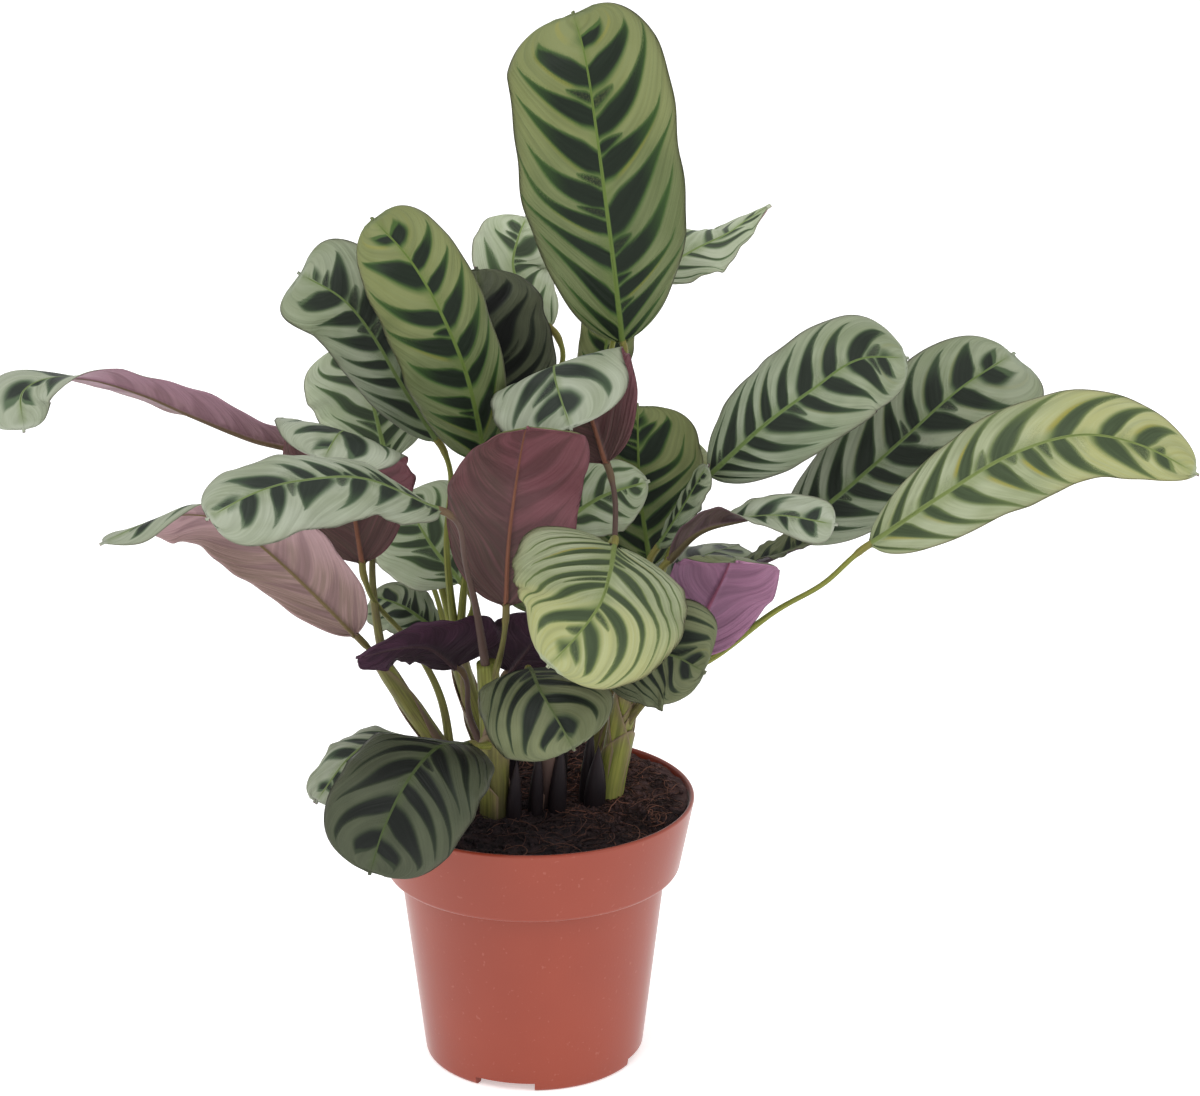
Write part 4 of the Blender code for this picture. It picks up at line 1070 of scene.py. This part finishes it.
def petiole_route(leaf, stem):
    """From inside the stem, by the leaf's own way points, to just short of its blade."""
    midrib = Route(leaf.midrib)
    base = Vector(leaf.midrib[0])
    heading = midrib.heading(0.0)
    points = [stem.at(leaf.start - PETIOLE_ROOT), stem.at(leaf.start)]
    points += list(leaf.via)
    points += [base - heading * (PULVINUS_LENGTH + 3), base - heading * BLADE_SEAT]
    rough = Route(points)
    steps = round(rough.length / PETIOLE_STEP)
    eased = [rough.at(k / steps) for k in range(steps + 1)]
    for _ in range(PETIOLE_EASING):
        inner = [(a + 2 * b + c) / 4 for a, b, c in zip(eased, eased[1:], eased[2:])]
        eased = [eased[0]] + inner[:-1] + eased[-2:]
    return Route(eased)


def add_petiole(growth, leaf, stem, tint):
    route = petiole_route(leaf, stem)
    joint = PULVINUS_LENGTH / route.length

    def radius(share, angle):
        plain = PETIOLE_FOOT_RADIUS + (PETIOLE_RADIUS - PETIOLE_FOOT_RADIUS) * min(share * 1.5, 1)
        swell = min(max((share - 1 + joint) / (0.3 * joint), 0), 1)
        swell = swell * swell * (3 - 2 * swell)
        return plain + (PULVINUS_RADIUS - plain) * swell

    add_tube(growth, route, radius, PETIOLE_SIDES, PETIOLE_GAP, tint, 1 - joint)


def add_spear(growth, x, y, top, radius, soil_z):
    """A rolled young leaf: a pointed shoot with a seam that winds up it."""
    low = soil_z - STEM_FOOT_DEPTH + 2
    lean = (top - soil_z) * 0.06
    route = Route([(x, y, low), (x, y, soil_z), (x + lean, y - lean, top)])
    ground = (soil_z - low) / (top - low)

    def radius_at(share, angle):
        above = max(share - ground, 0) / (1 - ground)
        seam = max(math.cos(angle - 2.2 * above), 0) ** 12
        return max(radius * (1 - above ** 1.9) * (1 - 0.14 * seam), 0.06)

    # The spear's foot is darkened towards the soil: painted shade
    add_tube(growth, route, radius_at, PETIOLE_SIDES, SPEAR_GAP, SPEAR_TINT,
             pale_or_shaded_at=lambda share: -1.3 * (1 - share) ** 0.7)


def add_shoot(name, shoot):
    """A sheathed stem with its spears and the petioles of its leaves."""
    growth = Growth()
    x, y, soil_z = shoot.stem[0]
    buried = [(x, y, soil_z - STEM_FOOT_DEPTH), (x, y, soil_z - STEM_FOOT_DEPTH / 2)]
    stem_route = Route(buried + shoot.stem)
    leaves_route = Route(shoot.stem)
    sunk_share = 1 - leaves_route.length / stem_route.length
    brownness, foot_pale_or_shaded = SHOOT_TINTS[name]

    def stem_radius(share):
        return shoot.radii[0] + (shoot.radii[1] - shoot.radii[0]) * share ** 1.5

    def core_radius(share, angle):
        return stem_radius(share) - CORE_INSET * (1 - share) * 0.8

    # Above zero the stem's foot is pale; below zero it is darkened as painted shade
    def pale_or_shaded_at(share):
        return foot_pale_or_shaded * (1 - max(share - sunk_share, 0) / (1 - sunk_share)) ** 1.5

    add_tube(growth, stem_route, core_radius, STEM_SIDES, STEM_GAP, brownness, pale_or_shaded_at=pale_or_shaded_at)
    for spear in shoot.spears:
        add_spear(growth, *spear, soil_z)
    members = [(leaf.start, key) for key, leaf in LEAVES.items() if leaf.shoot == name]
    for layer, (start, key) in enumerate(sorted(members)):
        leaf = LEAVES[key]
        add_petiole(growth, leaf, leaves_route, PETIOLE_TINTS.get(key, PETIOLE_TINT))
        towards = Vector(leaf.via[0] if leaf.via else leaf.midrib[0]) - leaves_route.at(start)
        top = sunk_share + (1 - sunk_share) * min(start + SHEATH_RISE, 1.0)
        _, guide, other = frame_at(stem_route, top)
        turn = math.atan2(towards.dot(other), towards.dot(guide))
        inset = CORE_INSET * 0.55 - SHEATH_STEP * (len(members) - 1 - layer)
        add_sheath(growth, stem_route, lambda share: stem_radius(share) - inset,
                   sunk_share * 0.8, top, turn, brownness + 0.3 * (layer % 3) / 2, foot_pale_or_shaded)
    growth.make(f"shoot_{name}_fine", stem_material, ["shoot_" + name])


def rounded(profile, radius):
    """The profile with its inner corners rounded, from (radius, z) points."""
    made = [profile[0]]
    for before, corner, after in zip(profile, profile[1:], profile[2:]):
        before, corner, after = Vector(before), Vector(corner), Vector(after)
        cut = min(radius, 0.45 * (before - corner).length, 0.45 * (after - corner).length)
        start = corner + (before - corner).normalized() * cut
        end = corner + (after - corner).normalized() * cut
        for step in range(CORNER_STEPS + 1):
            t = step / CORNER_STEPS
            made.append(tuple(start * (1 - t) ** 2 + corner * 2 * t * (1 - t) + end * t * t))
    return made + [profile[-1]]


def turned_mesh(profile, sides, height_at=None):
    """The points and faces of a solid turned round Z from (radius, z) points that start and end
    on the axis."""
    points = [(0, 0, profile[0][1])]
    for radius, z in profile[1:-1]:
        for k in range(sides):
            angle = 2 * math.pi * k / sides
            x = radius * math.sin(angle)
            y = -radius * math.cos(angle)
            points.append((x, y, height_at(x, y, z) if height_at else z))
    grid = np.arange(1, len(points)).reshape(-1, sides)
    faces = quads(grid, closed=True)
    for k in range(sides):
        after = (k + 1) % sides
        faces.append((0, 1 + after, 1 + k))
        faces.append((int(grid[-1, k]), int(grid[-1, after]), len(points)))
    points.append((0, 0, profile[-1][1]))
    return points, faces


def inner_radius(z):
    """The pot's inner radius at a height on the body or on the rim band."""
    if z < BODY_TOP_Z:
        share = z / BODY_TOP_Z
        return BODY_FOOT_RADIUS - WALL + share * (BODY_TOP_RADIUS - BODY_FOOT_RADIUS)
    share = (z - BAND_FOOT_Z) / (POT_HEIGHT - BAND_FOOT_Z)
    return BAND_FOOT_RADIUS - WALL + share * (LIP_RADIUS - BAND_FOOT_RADIUS)


SOIL_RADIUS = inner_radius(SOIL_EDGE_Z) - SOIL_CLEARANCE


def pot_profile():
    """The pot's section: out under the foot, up the outside, over the lip and down inside."""
    floor_z = GUTTER_Z + WALL
    outside = [
        (0, 0), (CENTRE_DISC_RADIUS, 0), (CENTRE_DISC_RADIUS + 2, GUTTER_Z),
        (FOOT_RADIUS - 3.5, GUTTER_Z), (FOOT_RADIUS - 2.5, 0), (FOOT_RADIUS, 0),
        (FOOT_RADIUS + 0.9, 0.9), (BODY_FOOT_RADIUS, 2.8),
        (BODY_TOP_RADIUS, BODY_TOP_Z), (BODY_TOP_RADIUS + 0.8, BODY_TOP_Z + 0.5),
        (BAND_FOOT_RADIUS - 0.7, BAND_FOOT_Z - 1.0), (BAND_FOOT_RADIUS, BAND_FOOT_Z),
        (LIP_RADIUS, POT_HEIGHT - 0.8), (LIP_RADIUS - 0.4, POT_HEIGHT - 0.1)]
    inside = [
        (LIP_RADIUS - 1.1, POT_HEIGHT), (LIP_RADIUS - 1.6, POT_HEIGHT - 0.6),
        (inner_radius(BAND_FOOT_Z + 1.4), BAND_FOOT_Z + 1.4),
        (BODY_TOP_RADIUS - 0.2, BODY_TOP_Z + 1.7), (BODY_TOP_RADIUS - WALL, BODY_TOP_Z + 0.6),
        (inner_radius(floor_z + 1), floor_z + 1), (inner_radius(floor_z) - 1, floor_z),
        (CENTRE_DISC_RADIUS + 2.6, floor_z), (CENTRE_DISC_RADIUS + 0.6, DISC_TOP_Z),
        (0, DISC_TOP_Z)]
    return outside + inside


def notch_cutter(centre_angle):
    """The points and faces of a curved block that cuts one notch out of the pot's foot."""
    inner = FOOT_RADIUS - NOTCH_REACH
    outer = FOOT_RADIUS + NOTCH_REACH
    section = ((inner, -CUT_PAST), (inner, NOTCH_HEIGHT), (outer, NOTCH_HEIGHT), (outer, -CUT_PAST))
    points = []
    for k in range(NOTCH_STEPS + 1):
        angle = centre_angle + NOTCH_ANGLE * (k / NOTCH_STEPS - 0.5)
        points += [(r * math.sin(angle), -r * math.cos(angle), z) for r, z in section]
    return points, tube_faces(NOTCH_STEPS + 1, len(section))


def drain_cutter(turn):
    """The points and faces of an upright cylinder that cuts one drain hole."""
    x = DRAIN_RING_RADIUS * math.sin(turn)
    y = -DRAIN_RING_RADIUS * math.cos(turn)
    low = GUTTER_Z - CUT_PAST
    high = GUTTER_Z + WALL + CUT_PAST
    profile = [(0, low), (DRAIN_RADIUS, low), (DRAIN_RADIUS, high), (0, high)]
    points, faces = turned_mesh(profile, DRAIN_SIDES)
    return [(x + px, y + py, pz) for px, py, pz in points], faces


def add_pot():
    """The moulded pot, with the notches in its foot and the drain holes in its gutter."""
    points, faces = turned_mesh(rounded(pot_profile(), POT_ROUNDING), POT_SIDES)
    pot = add_piece("pot_fine", points, faces, [pot_surface()], ["pot"])
    cuts = [notch_cutter(2 * math.pi * k / NOTCH_COUNT - NOTCH_ANGLE / 2)
            for k in range(NOTCH_COUNT)]
    cuts += [drain_cutter(2 * math.pi * (k + 0.5) / DRAIN_COUNT) for k in range(DRAIN_COUNT)]
    cutters = bpy.data.collections.new("pot_cutters")
    bpy.context.scene.collection.children.link(cutters)
    for points, faces in cuts:
        mesh = bpy.data.meshes.new("cutter")
        mesh.from_pydata(np.array(points) * MM, [], faces)
        cutters.objects.link(bpy.data.objects.new("cutter", mesh))
    boolean = pot.modifiers.new("cuts", "BOOLEAN")
    boolean.operation = "DIFFERENCE"
    boolean.operand_type = "COLLECTION"
    boolean.collection = cutters
    boolean.solver = "MANIFOLD"
    depsgraph = bpy.context.evaluated_depsgraph_get()
    mesh = bpy.data.meshes.new_from_object(pot.evaluated_get(depsgraph))
    pot.modifiers.clear()
    pot.data = mesh
    mesh.shade_smooth()
    mesh.set_sharp_from_angle(angle=SHARP_ANGLE)
    for cutter in list(cutters.objects):
        bpy.data.objects.remove(cutter)
    bpy.data.collections.remove(cutters)


def soil_top(x, y, z=SOIL_EDGE_Z):
    """The height of the soil's surface, in lumps and humps, or a lower z as it is."""
    if z < SOIL_EDGE_Z:
        return z
    share = min(math.hypot(x, y) / SOIL_RADIUS, 1.0)
    humps = math.sin(x * 0.21 + 1.0) * math.cos(y * 0.17) + 0.6 * math.sin(x * 0.08 - y * 0.27)
    lumps = noise.fractal(Vector((x * 0.35, y * 0.35, 3.0)), 0.9, 2.0, 4)
    heap = min(max((0.75 * x + 0.65 * y) / SOIL_RADIUS - 0.2, 0), 0.6) / 0.6
    return (SOIL_EDGE_Z + SOIL_RISE * (1 - share * share) + SOIL_HEAP * heap
            + SOIL_HUMPS * humps + SOIL_LUMPS * lumps)


def add_soil():
    """The soil's rough top, closed below."""
    low = SOIL_EDGE_Z - SOIL_DEPTH
    profile = [(0, low), (inner_radius(low) - SOIL_CLEARANCE, low)]
    profile += [(SOIL_RADIUS * (1 - k / SOIL_RINGS), SOIL_EDGE_Z) for k in range(SOIL_RINGS)]
    profile.append((0, soil_top(0, 0)))
    points, faces = turned_mesh(profile, SOIL_SIDES, soil_top)
    add_piece("soil_fine", points, faces, [soil_surface()], ["soil"])


def soil_place(draw, reach):
    """A random place on the soil, as far from its axis as a share of its radius."""
    radius = SOIL_RADIUS * reach * math.sqrt(draw.random())
    angle = draw.uniform(0, 2 * math.pi)
    return radius * math.cos(angle), radius * math.sin(angle)


def add_crumbs():
    """Small lumps of peat on the soil's top."""
    draw = random.Random(7)
    growth = Growth()
    for _ in range(CRUMB_COUNT):
        x, y = soil_place(draw, 0.98)
        size = draw.uniform(0.35, 1.0) ** 2 * CRUMB_SIZE
        squash = Vector([draw.uniform(0.6, 1.0) for _ in range(3)]) * size
        angle = draw.uniform(0, 6.3)
        turn = Matrix.Rotation(angle, 3, Vector([draw.gauss(0, 1) for _ in range(3)]))
        centre = Vector((x, y, soil_top(x, y) + CRUMB_RISE * size))
        corners = []
        for place in CRUMB_POINTS:
            uneven = draw.uniform(0.75, 1.15)
            point = centre + turn @ Vector(p * s * uneven for p, s in zip(place, squash))
            corners.append((point, (0, 0, 0), (0, 0, 0)))
        growth.add(corners, CRUMB_FACES)
    growth.make("soil_crumbs", bpy.data.materials["peat"], [])


def add_fibres():
    """Coir fibres that lie in loose curves on the soil's top, some of them bleached."""
    draw = random.Random(11)
    growth = Growth()
    limit = inner_radius(SOIL_EDGE_Z) - FIBRE_EDGE_GAP
    for _ in range(FIBRE_COUNT):
        x, y = soil_place(draw, 0.95)
        heaped = min(max((0.8 * x + 0.6 * y) / 40 + 0.3, 0), 1)
        if draw.random() > 0.3 + 0.7 * heaped:
            continue
        heading = draw.uniform(0, 2 * math.pi)
        bend = draw.uniform(-0.75, 0.75)
        step = draw.uniform(0.9, 3.2)
        hump = draw.uniform(0.1, 1.6) ** 2 * 0.6
        points = []
        for k in range(FIBRE_STEPS):
            rise = hump * math.sin(math.pi * k / (FIBRE_STEPS - 1))
            points.append((x, y, soil_top(x, y) + FIBRE_RISE + rise))
            x += step * math.cos(heading)
            y += step * math.sin(heading)
            heading += bend + draw.uniform(-0.35, 0.35)
            if math.hypot(x, y) > limit:
                break
        if len(points) < 3:
            continue
        pale = draw.random() ** 2.5 * (0.35 + 0.65 * heaped)
        thick = draw.uniform(0.1, 0.24)
        add_tube(growth, Route(points), lambda share, angle: thick * (1.1 - share * share),
                 FIBRE_SIDES, FIBRE_GAP, pale)
    growth.make("coir_fibres", coir_surface(), [])


def build_stage():
    mesh = bpy.data.meshes.new("floor")
    corners = np.array(((-1, -1, 0), (1, -1, 0), (1, 1, 0), (-1, 1, 0)))
    mesh.from_pydata(corners * FLOOR_REACH, [], [(0, 1, 2, 3)])
    s = Surface("floor_paper", specular=0.1)
    body = s.mix(s.noise(s.place(), scale=3.0), (250, 250, 250), (252, 252, 252))
    s.set(Base_Color=body, Roughness=0.9)
    # Painted light: the floor glows, which keeps it white and fills in the shadows on it
    s.shader.inputs["Emission Color"].default_value = (1.0, 1.0, 1.0, 1.0)
    s.shader.inputs["Emission Strength"].default_value = FLOOR_GLOW
    mesh.materials.append(s.material)
    floor = new_object("floor", mesh)


def add_light(name, place, size, power):
    data = bpy.data.lights.new(name, "AREA")
    data.shape = "DISK"
    data.size = size
    data.energy = power
    light = new_object(name, data)
    light.location = place
    beam = Vector(LIGHT_TARGET) - Vector(place)
    light.rotation_euler = beam.to_track_quat("-Z", "Y").to_euler()


def build_light_and_camera():
    world = bpy.data.worlds.new("studio")
    world.use_nodes = True
    background = world.node_tree.nodes["Background"]
    background.inputs["Color"].default_value = (1, 1, 1, 1)
    background.inputs["Strength"].default_value = WORLD_STRENGTH
    bpy.context.scene.world = world
    add_light("key", KEY_PLACE, KEY_SIZE, KEY_POWER)
    add_light("fill", FILL_PLACE, FILL_SIZE, FILL_POWER)
    data = bpy.data.cameras.new("camera")
    data.lens = CAMERA_LENS
    data.sensor_width = SENSOR_WIDTH
    data.sensor_fit = "HORIZONTAL"
    camera = new_object("camera", data)
    camera.location = CAMERA_PLACE
    camera.rotation_euler = (math.radians(CAMERA_TILT), 0.0, math.radians(CAMERA_TURN))
    bpy.context.scene.camera = camera
    bpy.context.scene.view_settings.view_transform = "Standard"


build_light_and_camera()
build_stage()
upper_materials = {name: upper_surface("leaf_" + name, tone) for name, tone in TONES.items()}
under_materials = {name: under_surface("underside_" + name, under)
                   for name, under in UNDERS.items()}
stem_material = stem_surface()
for number, (name, leaf) in enumerate(LEAVES.items()):
    add_blade("leaf_" + name, leaf, LOOKS[name], FIRST_SEED + SEED_STEP * number)
for name, shoot in SHOOTS.items():
    add_shoot(name, shoot)
add_pot()
add_soil()
add_crumbs()
add_fibres()
